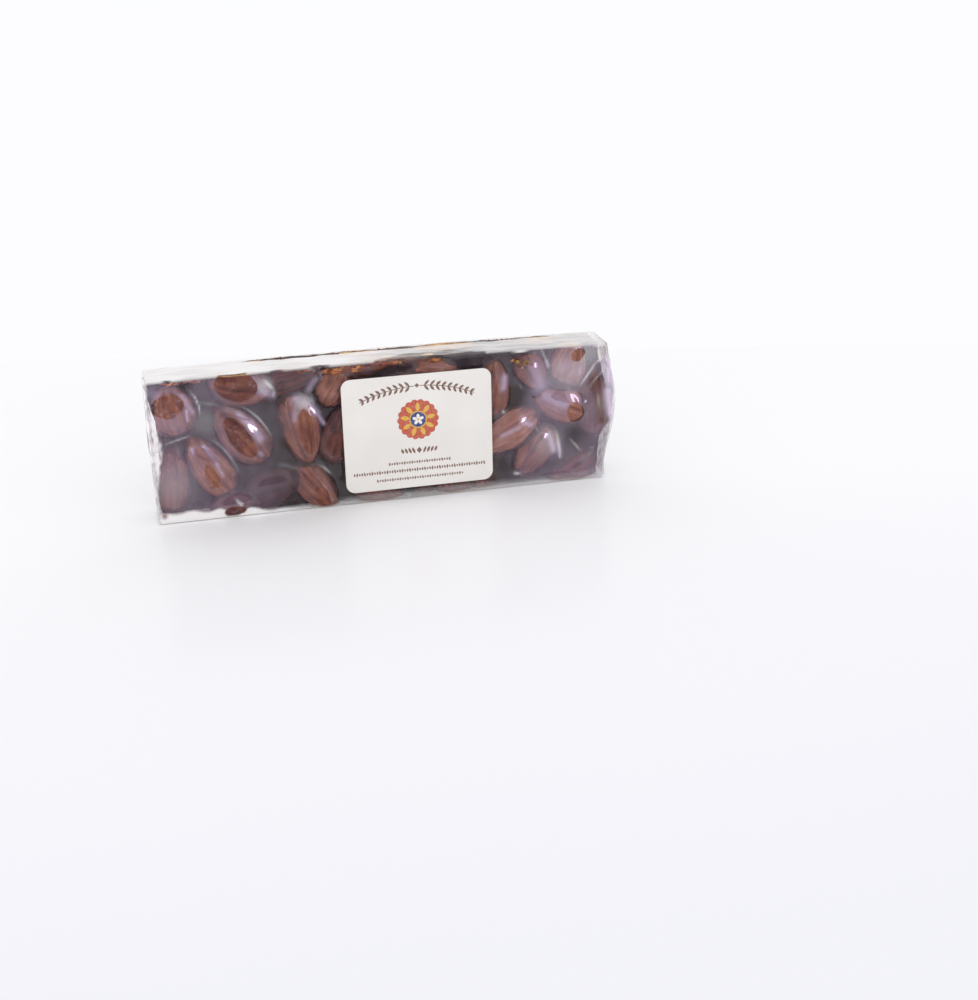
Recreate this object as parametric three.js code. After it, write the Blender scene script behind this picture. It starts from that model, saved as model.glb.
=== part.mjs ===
// A bar of almond nougat in a tight clear wrapper, standing on its long narrow edge, with a paper label.
// Millimetres, +Z up. X runs along the bar, the labelled face looks towards -Y, and the origin is the
// middle of the foot. The wrapper can't be opened without tearing, so bar and wrapper are one solid, whose
// two large faces follow the film where it is stretched over the whole almonds.
import * as THREE from "three";
import { mergeVertices } from "three/addons/utils/BufferGeometryUtils.js";

// Wrapped bar
const PACK_LENGTH = 174;
const PACK_DEPTH = 19.5;
const PACK_HEIGHT = 55;
const FILM_EDGE_Y = 8.9; // half the depth at the folded edges, where no almond pushes the film out
const CARAMEL_Y = 7.2; // half the depth of the set caramel between the almonds
const TOP_CROWN = 0.8; // how much the bar is taller in the middle than at its ends
const RIGHT_BULGE = 4.4; // the last almond pushes the film out past the top corner
const RIGHT_BULGE_Z = 31;
const RIGHT_BULGE_REACH = 27;
const RIGHT_BULGE_SPREAD = 0.25; // share of the length over which the bulge fades out
const RIGHT_BULGE_BEHIND = 0.5; // how much weaker the bulge is at the back

// Label
const LABEL_WIDTH = 56;
const LABEL_HEIGHT = 44;
const LABEL_THICKNESS = 0.3;
const LABEL_CORNER = 3.5;
const LABEL_X = 10;
const LABEL_Z = 26.7;
const LABEL_SEAT_Y = 9; // the film under the label lies flat, this far from the middle plane
const LABEL_CLEARANCE = 0.3;

// Almonds
const ALMOND_HALF_THICKNESS = 4.6;
const ALMOND_TAPER = 0.22; // how much narrower than the middle the pointed end is, and the blunt end wider
const CREST_Y = PACK_DEPTH / 2; // crest of an almond that touches the film
const ALMOND_LENGTHS = [23, 28];
const ALMOND_SLIMNESS = [0.5, 0.56]; // width over length
const ALMOND_SPACING = 12.2; // least distance between the spines of two neighbours
const SPINE_SHARE = 0.27; // half the spine over the length
const ALMOND_SINKS = [0.2, 1.3]; // how far the crests of almonds that aren't shown stay behind the film
const LAYOUT_MARGIN = 4; // no almond's middle lies nearer to an end of the bar
const LAYOUT_TRIES = 900;
const FRONT_SEED = 71;
const BACK_SEED = 29;

// Each almond that shows on the labelled face: middle x and z, turn from the X axis in degrees, length,
// width, and how far its crest stays behind the film.
const SHOWN_ALMONDS = [
  [-78, 42, 100, 20, 15, 0],
  [-52, 50.5, -12, 25, 16, 0],
  [-54.5, 31, -54, 27, 14.5, 0],
  [-66.5, 20, -60, 26, 13, 0.25],
  [-33.5, 31, -80, 28, 13.5, 0],
  [-45, 9, 20, 22, 13, 0.9],
  [-29, 8, -55, 23, 12, 0.2],
  [-19, 27, 75, 22, 13, 0.1],
  [-19.5, 47, 60, 19, 11, 0.6],
  [-80.5, 16, 85, 27, 12, 1.1],
  [-35, 50.5, 10, 22, 11, 1],
  [-59, 3, 10, 18, 12, 0.3],
  [-10, 54, 5, 24, 12, 0.2],
  [18, 55, -8, 18, 11, 0.2],
  [39.5, 39, 85, 23, 12, 0.5],
  [54.5, 45, -65, 18, 11, 0.5],
  [67.5, 44.5, 75, 23, 15, 0.5],
  [63, 33, -27, 26, 13.5, 0.2],
  [44.5, 21.5, 27, 28, 14, 0.4],
  [55.5, 13, 52, 24, 13, 0.5],
  [80.5, 31, 92, 29, 13.5, 0.4],
];

// Mesh: steps along, across and up, and rounds of the film's relaxation
const STEPS_X = 72;
const STEPS_Y = 6;
const STEPS_Z = 23;
const RELAX_ROUNDS = 400;
const FILM_SAG = 0.1; // how far the film sinks at each step between the places that hold it
const EDGE_RADIUS = 1.2;

// The end folds: two flaps folded over each other, whose slanted edges run in from the corners
const FLAP_STEP = 0.3;
const FLAP_SLANT = 0.9; // how steeply a flap's sloping edge runs in
const FLAP_SEAM_Y = 2.5; // where the upper flap ends

const clamp = (v, low, high) => Math.min(high, Math.max(low, v));
const bump = (t) => (Math.abs(t) < 1 ? (1 - t * t) ** 2 : 0);

// A small repeatable source of numbers from 0 to 1.
function makeRandom(seed) {
  let state = seed;
  return () => {
    state = (state * 16807) % 2147483647;
    return state / 2147483647;
  };
}

// The two ends of an almond's spine, which keeps neighbours apart.
function spine(almond) {
  const [x, z, turn, length] = almond;
  const reach = length * SPINE_SHARE;
  const dx = Math.cos(THREE.MathUtils.degToRad(turn)) * reach;
  const dz = Math.sin(THREE.MathUtils.degToRad(turn)) * reach;
  return [new THREE.Vector2(x - dx, z - dz), new THREE.Vector2(x + dx, z + dz)];
}

function pointToSpine(point, [a, b]) {
  const along = b.clone().sub(a);
  const t = clamp(point.clone().sub(a).dot(along) / along.lengthSq(), 0, 1);
  return a.clone().addScaledVector(along, t).distanceTo(point);
}

function spineGap(one, other) {
  return Math.min(
    pointToSpine(one[0], other),
    pointToSpine(one[1], other),
    pointToSpine(other[0], one),
    pointToSpine(other[1], one),
  );
}

// Adds almonds at random wherever one more fits beside its neighbours.
function fillFace(placed, seed) {
  const random = makeRandom(seed);
  const between = ([low, high]) => low + (high - low) * random();
  const almonds = [...placed];
  for (let i = 0; i < LAYOUT_TRIES; i += 1) {
    const x = (random() - 0.5) * (PACK_LENGTH - 2 * LAYOUT_MARGIN);
    const z = random() * PACK_HEIGHT;
    const turn = random() * 180;
    const length = between(ALMOND_LENGTHS);
    const width = length * between(ALMOND_SLIMNESS);
    const sink = between(ALMOND_SINKS);
    const almond = [x, z, turn, length, width, sink];
    const own = spine(almond);
    if (almonds.every((other) => spineGap(own, spine(other)) > ALMOND_SPACING)) {
      almonds.push(almond);
    }
  }
  return almonds;
}

// How far an almond's skin stands from the bar's middle plane over a point of the face.
function almondLevel([cx, cz, turn, length, width, sink], x, z) {
  const angle = THREE.MathUtils.degToRad(turn);
  const along = (x - cx) * Math.cos(angle) + (z - cz) * Math.sin(angle);
  const across = (z - cz) * Math.cos(angle) - (x - cx) * Math.sin(angle);
  const rho = (2 * along) / length;
  const sigma = (2 * across) / (width * (1 - ALMOND_TAPER * rho));
  const inside = 1 - rho * rho - sigma * sigma;
  if (inside <= 0) return -Infinity;
  return CREST_Y - sink - ALMOND_HALF_THICKNESS * (1 - Math.sqrt(inside));
}

// Places of the mesh's steps along one side of the bar: even, but for a short first and last step that
// turn round the fold.
function station(step, steps, size) {
  if (step <= 0) return 0;
  if (step >= steps) return size;
  return EDGE_RADIUS + ((step - 1) / (steps - 2)) * (size - 2 * EDGE_RADIUS);
}

// How far the right end stays behind its outermost point; behind runs from 0 at the front to 1.
function rightInset(behind, z) {
  const push = bump((z - RIGHT_BULGE_Z) / RIGHT_BULGE_REACH) * (1 - RIGHT_BULGE_BEHIND * behind);
  return RIGHT_BULGE * (1 - push);
}

function stationX(i, behind, z) {
  const even = station(i, STEPS_X, PACK_LENGTH) - PACK_LENGTH / 2;
  const fade = clamp((i / STEPS_X - 1 + RIGHT_BULGE_SPREAD) / RIGHT_BULGE_SPREAD, 0, 1);
  return even - rightInset(behind, z) * fade;
}

function stationZ(i, k) {
  const crown = TOP_CROWN * ((2 * i) / STEPS_X - 1) ** 2;
  return station(k, STEPS_Z, PACK_HEIGHT - crown);
}

// Where the film lies flat for the label: under it and one step of the mesh around it.
function underLabel(x, z) {
  const marginX = PACK_LENGTH / STEPS_X;
  const marginZ = PACK_HEIGHT / STEPS_Z;
  return (
    Math.abs(x - LABEL_X) < LABEL_WIDTH / 2 + marginX &&
    Math.abs(z - LABEL_Z) < LABEL_HEIGHT / 2 + marginZ
  );
}

// The film over one large face, as distances from the middle plane on a grid of steps. It is held at the
// folded edges, sags a little in between, is pushed out by whatever almond reaches it, and lies flat
// under the label.
function drape(almonds, behind) {
  const film = [];
  const least = [];
  const most = [];
  for (let i = 0; i <= STEPS_X; i += 1) {
    film.push([]);
    least.push([]);
    most.push([]);
    for (let k = 0; k <= STEPS_Z; k += 1) {
      const z = stationZ(i, k);
      const x = stationX(i, behind, z);
      const flat = behind === 0 && underLabel(x, z);
      const level = Math.max(CARAMEL_Y, ...almonds.map((almond) => almondLevel(almond, x, z)));
      least[i].push(flat ? LABEL_SEAT_Y : level);
      most[i].push(flat ? LABEL_SEAT_Y : CREST_Y);
      film[i].push(i > 0 && i < STEPS_X ? Math.max(FILM_EDGE_Y, level) : FILM_EDGE_Y);
    }
  }
  for (let round = 0; round < RELAX_ROUNDS; round += 1) {
    for (let i = 2; i < STEPS_X - 1; i += 1) {
      for (let k = 2; k < STEPS_Z - 1; k += 1) {
        const mean = (film[i - 1][k] + film[i + 1][k] + film[i][k - 1] + film[i][k + 1]) / 4;
        film[i][k] = clamp(mean - FILM_SAG, least[i][k], most[i][k]);
      }
    }
  }
  return film;
}

// The end folds, as how far they lie behind the upper flap: that flap comes round from the front, the one
// under it from the back, and the tucks at top and foot lie deepest.
function flapDepth(y, z) {
  const fromEdge = Math.min(z, PACK_HEIGHT - z);
  if (y < FLAP_SEAM_Y && fromEdge > FLAP_SLANT * (y + FILM_EDGE_Y)) return 0;
  return fromEdge > FLAP_SLANT * (FILM_EDGE_Y - y) ? FLAP_STEP : 2 * FLAP_STEP;
}

// A closed box in steps, each of whose points is then moved to where the film lies.
function wrappedBarGeometry() {
  const front = drape(fillFace(SHOWN_ALMONDS, FRONT_SEED), 0);
  const back = drape(fillFace([], BACK_SEED), 1);
  const box = new THREE.BoxGeometry(1, 1, 1, STEPS_X, STEPS_Y, STEPS_Z);
  box.deleteAttribute("normal");
  box.deleteAttribute("uv");
  const geometry = mergeVertices(box, 1e-6);
  const at = geometry.getAttribute("position");
  for (let n = 0; n < at.count; n += 1) {
    const i = Math.round((at.getX(n) + 0.5) * STEPS_X);
    const j = Math.round((at.getY(n) + 0.5) * STEPS_Y);
    const k = Math.round((at.getZ(n) + 0.5) * STEPS_Z);
    const behind = station(j, STEPS_Y, 2 * FILM_EDGE_Y) / (2 * FILM_EDGE_Y);
    let z = stationZ(i, k);
    let x = stationX(i, behind, z);
    let y = THREE.MathUtils.lerp(-front[i][k], back[i][k], behind);

    // the sides that the point lies on, as a step outwards along each axis
    const outX = Number(i === STEPS_X) - Number(i === 0);
    const outY = Number(j === STEPS_Y) - Number(j === 0);
    const outZ = Number(k === STEPS_Z) - Number(k === 0);
    const sides = Math.abs(outX) + Math.abs(outY) + Math.abs(outZ);
    if (sides === 1) x -= outX * flapDepth(y, z);
    if (sides > 1) {
      // a point of an edge or corner lies on the fold's round
      const inset = EDGE_RADIUS * (1 - 1 / Math.sqrt(sides));
      x -= outX * inset;
      y -= outY * inset;
      z -= outZ * inset;
    }
    at.setXYZ(n, x, y, z);
  }
  return geometry;
}

function labelGeometry() {
  const w = LABEL_WIDTH / 2;
  const h = LABEL_HEIGHT / 2;
  const r = LABEL_CORNER;
  const outline = new THREE.Shape();
  outline.moveTo(-w + r, -h);
  outline.lineTo(w - r, -h);
  outline.absarc(w - r, -h + r, r, -Math.PI / 2, 0);
  outline.lineTo(w, h - r);
  outline.absarc(w - r, h - r, r, 0, Math.PI / 2);
  outline.lineTo(-w + r, h);
  outline.absarc(-w + r, h - r, r, Math.PI / 2, Math.PI);
  outline.lineTo(-w, -h + r);
  outline.absarc(-w + r, -h + r, r, Math.PI, 1.5 * Math.PI);
  return new THREE.ExtrudeGeometry(outline, {
    depth: LABEL_THICKNESS,
    bevelEnabled: false,
    curveSegments: 6,
  });
}

const wrappedBar = new THREE.Mesh(
  wrappedBarGeometry(),
  new THREE.MeshStandardMaterial({ color: 0x6e463c, roughness: 0.15, metalness: 0 }),
);
wrappedBar.name = "wrapped_bar";

const label = new THREE.Mesh(
  labelGeometry(),
  new THREE.MeshStandardMaterial({ color: 0xf1ece6, roughness: 0.6, metalness: 0 }),
);
label.name = "label";
label.rotation.x = Math.PI / 2; // the drawing stands up and faces -Y
label.position.set(LABEL_X, -LABEL_SEAT_Y - LABEL_CLEARANCE, LABEL_Z);

const bar = new THREE.Group();
bar.add(wrappedBar, label);

export default bar;
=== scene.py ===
import functools
import math
import random

import bmesh
import bpy
import numpy as np
from bpy.props import FloatProperty, FloatVectorProperty, IntProperty, PointerProperty
from mathutils import Matrix, Vector


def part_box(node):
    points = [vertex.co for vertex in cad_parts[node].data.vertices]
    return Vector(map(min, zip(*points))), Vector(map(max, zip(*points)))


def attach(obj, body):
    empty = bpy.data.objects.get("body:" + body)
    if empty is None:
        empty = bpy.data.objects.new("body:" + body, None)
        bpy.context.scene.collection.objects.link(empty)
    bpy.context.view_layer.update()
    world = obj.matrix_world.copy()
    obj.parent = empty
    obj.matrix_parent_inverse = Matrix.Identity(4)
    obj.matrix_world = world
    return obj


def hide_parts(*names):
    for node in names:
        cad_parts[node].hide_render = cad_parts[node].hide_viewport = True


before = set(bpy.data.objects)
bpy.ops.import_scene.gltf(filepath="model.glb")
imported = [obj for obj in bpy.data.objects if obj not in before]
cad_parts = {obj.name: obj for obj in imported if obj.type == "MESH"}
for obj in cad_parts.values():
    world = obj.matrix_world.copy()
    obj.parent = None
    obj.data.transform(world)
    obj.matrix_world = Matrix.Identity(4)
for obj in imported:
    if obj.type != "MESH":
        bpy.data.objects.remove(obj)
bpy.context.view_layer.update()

bl_info = {
    "name": "Almond nougat bar",
    "version": (1, 0, 0),
    "blender": (4, 5, 0),
    "location": "3D View > Sidebar > Nougat",
    "description": "Almonds, caramel, clear film and label of a wrapped nougat bar",
    "category": "Object",
}

MM = 0.001


def corners_mm(node):
    """Lowest and highest corner of a node, in millimetres."""
    low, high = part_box(node)
    return [v / MM for v in low], [v / MM for v in high]


PACK_LOW, PACK_HIGH = corners_mm("wrapped_bar")
LABEL_LOW, LABEL_HIGH = corners_mm("label")
HEIGHT = PACK_HIGH[2] - PACK_LOW[2]

# Wrapper, as in the part's own source
HALF_LENGTH = 87.0
FILM_EDGE_Y = 8.9
TOP_CROWN = 0.8
RIGHT_BULGE = 4.4
RIGHT_BULGE_Z = 31.0
RIGHT_BULGE_REACH = 27.0
RIGHT_BULGE_SPREAD = 0.25
RIGHT_BULGE_BEHIND = 0.5
EDGE_RADIUS = 1.2
FILM_CREST_Y = 9.75
LABEL_SEAT_Y = 9.0
FLAT_FILM_Y = 9.1  # the film under the label
LABEL_BACK_Y = 9.2

# Almonds, as in the part's own source
HALF_THICKNESS = 4.6
TAPER = 0.22
COAT_LENGTH = 1.05  # an almond under its coat of caramel is longer and wider by these
COAT_WIDTH = 1.15
ALMOND_LENGTHS = (23.0, 28.0)
ALMOND_SLIMNESS = (0.5, 0.56)
ALMOND_SINKS = (0.2, 1.3)
ALMOND_SPACING = 12.2
SPINE_SHARE = 0.27
LAYOUT_MARGIN = 4.0
LAYOUT_TRIES = 900
FRONT_SEED = 71
BACK_SEED = 29
VARIETY_SEEDS = (11, 12)  # which almonds lie on their other side, and their tones, in front and behind
DEEP_LENGTHS = (20.0, 26.0)
DEEP_SINKS = (2.1, 3.0)
DEEP_SPACING = 9.2
DEEP_TRIES = 900
DEEP_MARGINS = (6, 8, 4)  # from the left end, from the right end, and from the foot and the top

# Each almond that shows on the labelled face: middle x and z, turn from the X axis in degrees, length,
# width, how far its crest stays behind the film, and where its crest lies from its middle along x and z.
SHOWN_ALMONDS = [
    (-78, 42, 100, 20, 15, 0, -1.5, 2.6),
    (-52, 50.5, -12, 25, 16, 0, -2.6, -1.5),
    (-54.5, 31, 126, 27, 14.5, 0, -1.0, 0.5),
    (-66.5, 20, 120, 26, 13, 0.4, -0.5, -1.8),
    (-33.5, 31, -80, 28, 13.5, 0, 2.3, 0.3),
    (-45, 9, 20, 22, 13, 0.9, 0, 0),
    (-29, 8, -55, 23, 12, 0.2, 1.5, -3.0),
    (-19, 27, 75, 22, 13, 0.1, -1.5, 0),
    (-19.5, 47, 60, 19, 11, 0.6, 0, 0),
    (-80.5, 16, 85, 27, 12, 1.1, 0, 0),
    (-35, 50.5, 10, 22, 11, 1, 0, 0),
    (-59, 3, 10, 18, 12, 0.3, 0, 0.5),
    (-10, 53.5, 5, 24, 12, 1.8, 0, 0),
    (18, 55, -8, 18, 11, 0.2, 0, -0.5),
    (39.5, 39, 85, 23, 12, 0.8, 0, 0),
    (54.5, 45, -65, 18, 11, 0.9, 0, 0),
    (67.5, 44.5, 75, 23, 15, 0.3, 3.0, 5.0),
    (63, 33, 153, 26, 13.5, 0.2, 6.5, -4.0),
    (44.5, 21.5, 207, 28, 14, 0.75, 0, 0),
    (55.5, 13, 232, 24, 13, 0.8, 0, 0),
    (79.3, 31, 92, 29, 12.2, 0.75, 0, 0),
]
END_ALMOND = 20  # the whole one that bulges the right end
TOP_ALMOND = 13  # the one that shows above the label
# How much paler, or darker, some of them are
PALE_ALMONDS = {0: 0.1, 3: 0.15, 5: -0.2, 13: 0.1, 16: 0.15, 17: 0.2, 18: 0.1}
TOP_ALMOND_DROP = 7.3  # it sits this much lower than in the part's source, below the cut
END_ALMOND_INSET = 0.9  # and the whole one this much further in, clear of the crumpled film

# Contents
FILM_GAP = 0.1  # a whole almond's crest stays this far inside the film
LABEL_GAP = 0.15  # and this far inside the film under the label
CARAMEL_Y = 5.2
CARAMEL_FILLET = 3.2
SWELLS = (0.8, 2.5)  # how much it swells along the cut upper edge, at the front and at the back
SWELL_FROM, SWELL_TO = 49.0, 53.0  # the heights over which it does
COAT_DROP = 0.35
TOP_GAP = 0.75  # between the cut upper side and the film over it
TOP_SLOPE = 0.02  # the cut upper side is higher at the back by this share
CUT_FOOT = 1.0
CUT_LEFT = -84.2
END_GAP = 0.9  # a cut almond's clearance to the film at the right end
CAP_STAND = 0.12  # a cut almond's face stands this far out of the cut caramel
CUT_HALF_DEPTH = 9.0  # of the cut upper side
CARAMEL_STEPS = (300, 26, 94)

# Grooves of an almond's skin: clouds of this size on a sphere of radius 1 that is then stretched
GROOVE_SIZE = 0.17
GROOVE_DEPTH = 0.075
GROOVE_STRETCH = 3.0
TIP_PULL = 0.10
TIP_REACH = 0.7  # how far from the tip the pull is felt
TIP_STEPS = (0.72, 0.84, 0.92)  # the grooves fade out more beyond each of these
ALMOND_KINDS = 4
# Painted shade: the skin is drawn darker towards where an almond dips into the caramel
RIM_FROM, RIM_TO, RIM_PAINTED_SHADE = 0.15, 0.6, 0.22  # an almond is darker where it dips into the caramel

# Folded ends and lap seam
SHEET_THICKNESS = 0.04
FLAP_LIFT = (0.3, 0.55)  # of the lower and the upper flap, as are the next two
FLAP_REACH = (31.0, 27.0)
FLAP_START = (0.9, 1.2)  # from the foot and from the top
FLAP_NARROWING = 4.6
FLAP_STEPS = (40, 24)
SEAM_FOOT = 22.0
SEAM_WIDTH = 9.0
SEAM_INSET = 1.5
SEAM_LIFT = 0.12
SEAM_STEPS = (240, 14)
SHEET_VEIL = 0.8

# Film
FILM_STEPS = (300, 34, 94)
FILM_SAG = 0.1  # at the coarse step below, as in the part's own source
FILM_SAG_STEP = 2.45
FILM_LEAST_Y = 7.7
RELAX_ROUNDS = 1600
BACK_STRIP = (5.5, 1.3)  # middle and half width of the clear strip above the bar's far edge
BACK_STRIP_SPAN = (-58.0, -42.0, 58.0, 68.0)  # where it widens from nothing, and narrows again
CONTACT_DEPTH = 1.0  # at the back the film wets an almond down to this far below its crest
RIDGE_HEIGHT = 0.3  # of a full crease
TOP_RIPPLE = (0.18, 5)  # height and size of the film's waves: along the top, and over each end
LEFT_CRUMPLE = (0.7, 4)
RIGHT_CRUMPLE = (0.25, 4)
MOST_HAZE = 0.92
MOST_VEIL = 6.5
# How milky the film is in its different places, from 0 to 1; along the top, on the upper side and at the
# left of the foot this white is a painted reflection, and in the creases a painted highlight
HAZE_FLAT = 0.012
CREASE_PAINTED_HIGHLIGHT = 0.55
HAZE_FOOT, FOOT_PAINTED_REFLECTION_LEFT = 0.2, 0.72  # below the contents everywhere, and more at the left
HAZE_SLACK = 0.17  # along the foot, from under the label to the right
HAZE_BEYOND = 0.45  # beyond the left end of the contents
BAND_PAINTED_REFLECTION = 0.9  # along the top of the labelled face
TOP_PAINTED_REFLECTION = 0.86
HAZE_ENDS = (0.3, 0.16)  # over the left and the right end
HAZE_FOLD = 0.5

# Creases of the film on the labelled face, each a low ridge with a painted white highlight along it: from x,
# z to x, z, half width and strength
CREASES = [
    (-82.0, 30.4, -72.5, 32.9, 0.30, 0.6),
    (-71.0, 45.5, -60.0, 43.0, 0.60, 0.2),
    (-60.0, 43.0, -54.0, 39.6, 0.50, 0.3),
    (-42.0, 19.0, -34.0, 15.5, 0.60, 0.2),
    (-58.7, 7.2, -56.1, 3.7, 0.45, 1.0),
    (-44.8, 51.2, -41.8, 47.1, 0.55, 0.9),
    (-41.8, 47.1, -41.9, 44.6, 0.40, 0.6),
    (-26.7, 8.6, -23.2, 2.4, 0.30, 0.8),
    (-27.9, 7.0, -25.0, 1.8, 0.25, 0.6),
    (57.0, 54.6, 60.6, 47.0, 0.30, 0.7),
    (73.0, 38.2, 79.0, 46.5, 0.45, 0.9),
    (79.0, 46.5, 81.8, 48.6, 0.45, 0.9),
    (76.0, 37.0, 83.0, 44.5, 0.30, 0.4),
    (63.6, 20.4, 65.4, 9.6, 0.60, 0.7),
    (69.0, 17.0, 73.4, 11.5, 0.40, 0.6),
    (46.5, 5.6, 49.0, 4.9, 0.50, 1.0),
    (42.4, 31.2, 43.2, 29.8, 0.40, 0.9),
    (3.0, 2.6, 8.0, 0.9, 0.40, 0.7),
    (79.4, 34.5, 80.2, 29.0, 0.35, 0.3),
]
# Gleams, where the film bends over an almond and mirrors the light broadly, and calm streaks, whose
# strength is negative: likewise
GLEAMS = [
    (-74.4, 48.0, -71.0, 41.6, 0.9, 2.4),
    (-73.1, 42.6, -73.0, 38.6, 0.5, 4.5),
    (-77.0, 37.6, -76.0, 36.6, 3.6, 1.0),
    (-84.2, 50.5, -82.0, 48.5, 2.0, 1.0),
    (-49.0, 51.6, -46.0, 47.2, 1.8, 2.0),
    (-46.0, 47.2, -42.6, 45.4, 1.6, 2.6),
    (-55.0, 39.2, -51.2, 35.6, 1.1, 3.2),
    (-51.2, 35.6, -48.0, 29.4, 1.5, 3.0),
    (-48.6, 24.0, -48.0, 23.0, 0.7, 2.0),
    (-72.6, 27.9, -71.9, 26.4, 0.7, 3.6),
    (-68.5, 28.4, -65.6, 24.2, 0.6, 4.2),
    (-65.6, 24.2, -62.4, 16.6, 0.5, 2.6),
    (-34.0, 42.6, -29.8, 41.0, 1.6, 3.6),
    (-29.8, 41.0, -27.0, 37.0, 1.2, 3.4),
    (-27.0, 37.0, -24.8, 32.9, 0.7, 3.2),
    (-34.2, 41.0, -35.4, 35.6, 0.9, 2.2),
    (-26.4, 50.0, -29.2, 46.2, 1.2, 2.2),
    (-25.0, 52.5, -24.4, 50.0, 0.5, 2.0),
    (43.6, 43.9, 42.6, 40.0, 1.4, 3.0),
    (55.0, 46.5, 57.2, 39.2, 2.6, 2.0),
    (56.0, 40.6, 57.4, 38.8, 1.2, 1.8),
    (59.6, 48.6, 60.4, 46.6, 0.7, 2.6),
    (66.0, 46.0, 72.0, 44.0, 3.6, 1.3),
    (72.4, 44.8, 72.8, 42.6, 0.5, 3.0),
    (59.6, 35.0, 66.4, 31.6, 2.0, 2.2),
    (50.0, 26.0, 53.4, 24.4, 1.1, 3.2),
    (42.0, 21.4, 49.0, 24.0, 0.8, 2.6),
    (60.4, 19.6, 62.6, 13.0, 1.2, 3.4),
    (64.2, 16.0, 64.9, 10.4, 0.6, 3.0),
    (83.6, 35.0, 85.0, 26.0, 1.4, 4.6),
    (84.0, 48.0, 84.6, 39.0, 1.6, 4.2),
    (79.2, 39.0, 81.2, 24.0, 2.2, -1.6),
    (40.5, 42.0, 40.8, 33.0, 1.4, -0.7),
]
# Where the film wets an almond that shows: middle x and z of the patch, its half length and half
# width, and its turn in degrees
PATCHES = [
    (-79.5, 44.8, 5.6, 4.2, 8),
    (-55.2, 50.0, 7.6, 5.4, -18),
    (-55.3, 30.6, 8.6, 3.7, 118),
    (-66.4, 17.0, 4.2, 1.9, 112),
    (-30.7, 30.2, 8.3, 3.0, 97),
    (-27.0, 4.8, 4.4, 2.6, 115),
    (-21.0, 24.9, 5.2, 2.8, 75),
    (-59.3, 2.6, 3.6, 1.7, 5),
    (17.4, 54.0, 2.5, 2.0, 0),
    (71.6, 50.6, 2.7, 2.3, 20),
    (70.6, 27.9, 3.9, 3.3, 100),
]
PATCH_RIM = 0.15
# Painted highlights: arcs of white round some almonds, on the side of the light: number of the almond in the
# list of those that show, size as a share of its outline, direction in degrees, half spread and strength
ARCS = [
    (0, 1.10, 20, 30, 1.0),
    (2, 1.05, 38, 48, 1.0),
    (3, 1.07, 35, 50, 0.7),
    (6, 1.08, 60, 22, 0.9),
    (17, 1.10, 60, 30, 0.3),
]
ARC_WIDTH = 0.26

# How much the film mirrors along the labelled face
VEIL_ALONG = [
    (-87, 1.1),
    (-72, 1.05),
    (-60, 0.85),
    (-50, 0.65),
    (-40, 0.3),
    (-31, 0.1),
    (-20, 0.0),
    (40, 0.3),
    (48, 0.6),
    (58, 1.2),
    (70, 1.25),
    (80, 1.15),
    (87, 1.0),
]
# Places where it mirrors less: x, z, radius and how much
CALM_SPOTS = [
    (47.2, 35.5, 7.0, 0.7),
    (70.9, 17.8, 7.0, 0.9),
    (42.5, 8.5, 7.0, 0.4),
    (-22.9, 51.9, 5.0, 0.6),
    (-72.5, 51.5, 4.5, 0.8),
    (77.5, 40.0, 5.0, 0.8),
    (-41.0, 45.1, 6.0, 0.4),
    (47.0, 24.0, 8.0, 0.3),
    (51.0, 51.5, 7.0, 0.6),
]
# Painted highlights, spots where the film is made white as if it caught the light: x, z, radius and how much
PAINTED_HIGHLIGHT_SPOTS = [
    (68.0, 44.0, 14.0, 0.14),
    (60.0, 17.0, 9.0, 0.16),
    (-80.0, 14.0, 12.0, 0.11),
    (-67.5, 37.5, 7.0, 0.11),
    (84.0, 30.0, 9.0, 0.12),
    (-31.5, 41.0, 5.5, 0.30),
    (-45.0, 49.5, 4.5, 0.30),
    (76.0, 52.0, 9.0, 0.25),
    (0.0, 1.2, 3.0, 0.1),
]
# Where the painted reflection, a white band along the top, begins, seen over the front edge: below the
# wrapper's height it begins on the labelled face, above it farther back on the upper side
PAINTED_BAND_START = [
    (-87.0, 54.6),
    (-75.0, 53.8),
    (-64.0, 53.9),
    (-53.0, 54.4),
    (-41.0, 55.2),
    (-30.0, 54.9),
    (-24.0, 55.5),
    (-18.7, 53.9),
    (-13.0, 54.0),
    (-7.0, 54.6),
    (-3.0, 55.5),
    (4.5, 57.2),
    (14.5, 57.3),
    (22.0, 57.5),
    (32.0, 56.4),
    (41.0, 54.0),
    (49.0, 53.1),
    (53.0, 53.3),
    (60.0, 54.1),
    (69.0, 53.6),
    (75.0, 53.3),
    (87.0, 52.5),
]
# Places where the film is clear over something dark: x, z, radius and how much
CLEAR_SPOTS = [
    (-78.8, 54.0, 2.2, 1.0),
    (-84.6, 3.3, 1.8, 1.0),
    (-22.6, 53.6, 2.6, 0.9),
    (4.3, 54.2, 1.8, 0.9),
]
LOOK_DOWN = 0.41  # how much lower a place looks for each millimetre nearer, seen as in the photo

# Amber crumbs along the edges of the cut upper side: x and z where a row starts and where it ends,
# the row's y and its spread in z, and how many
CRUMB_ROWS = [
    (-61.0, 53.1, -50.6, 53.2, -8.1, 0.4, 14),
    (-32.5, 53.3, -27.5, 53.2, -8.1, 0.4, 9),
    (-22.5, 51.9, -12.0, 52.6, -8.1, 0.9, 36),
    (-12.0, 52.9, -3.0, 53.4, -8.1, 0.4, 22),
    (-3.0, 53.2, 7.0, 53.3, -8.1, 0.4, 16),
    (15.5, 53.0, 19.5, 53.2, -8.1, 0.4, 7),
    (-82.0, 52.6, -66.0, 53.1, -8.0, 0.3, 10),
    (-80.0, 52.8, -77.6, 52.9, -8.1, 0.3, 5),
    (-84.9, 3.2, -84.3, 3.4, -8.0, 0.4, 4),
    (-23.4, 53.2, -21.6, 50.5, -8.1, 0.3, 6),
    (-47.0, 53.95, 62.0, 53.8, 7.3, 0.05, 170),
]
CRUMB_SEED = 61

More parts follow.
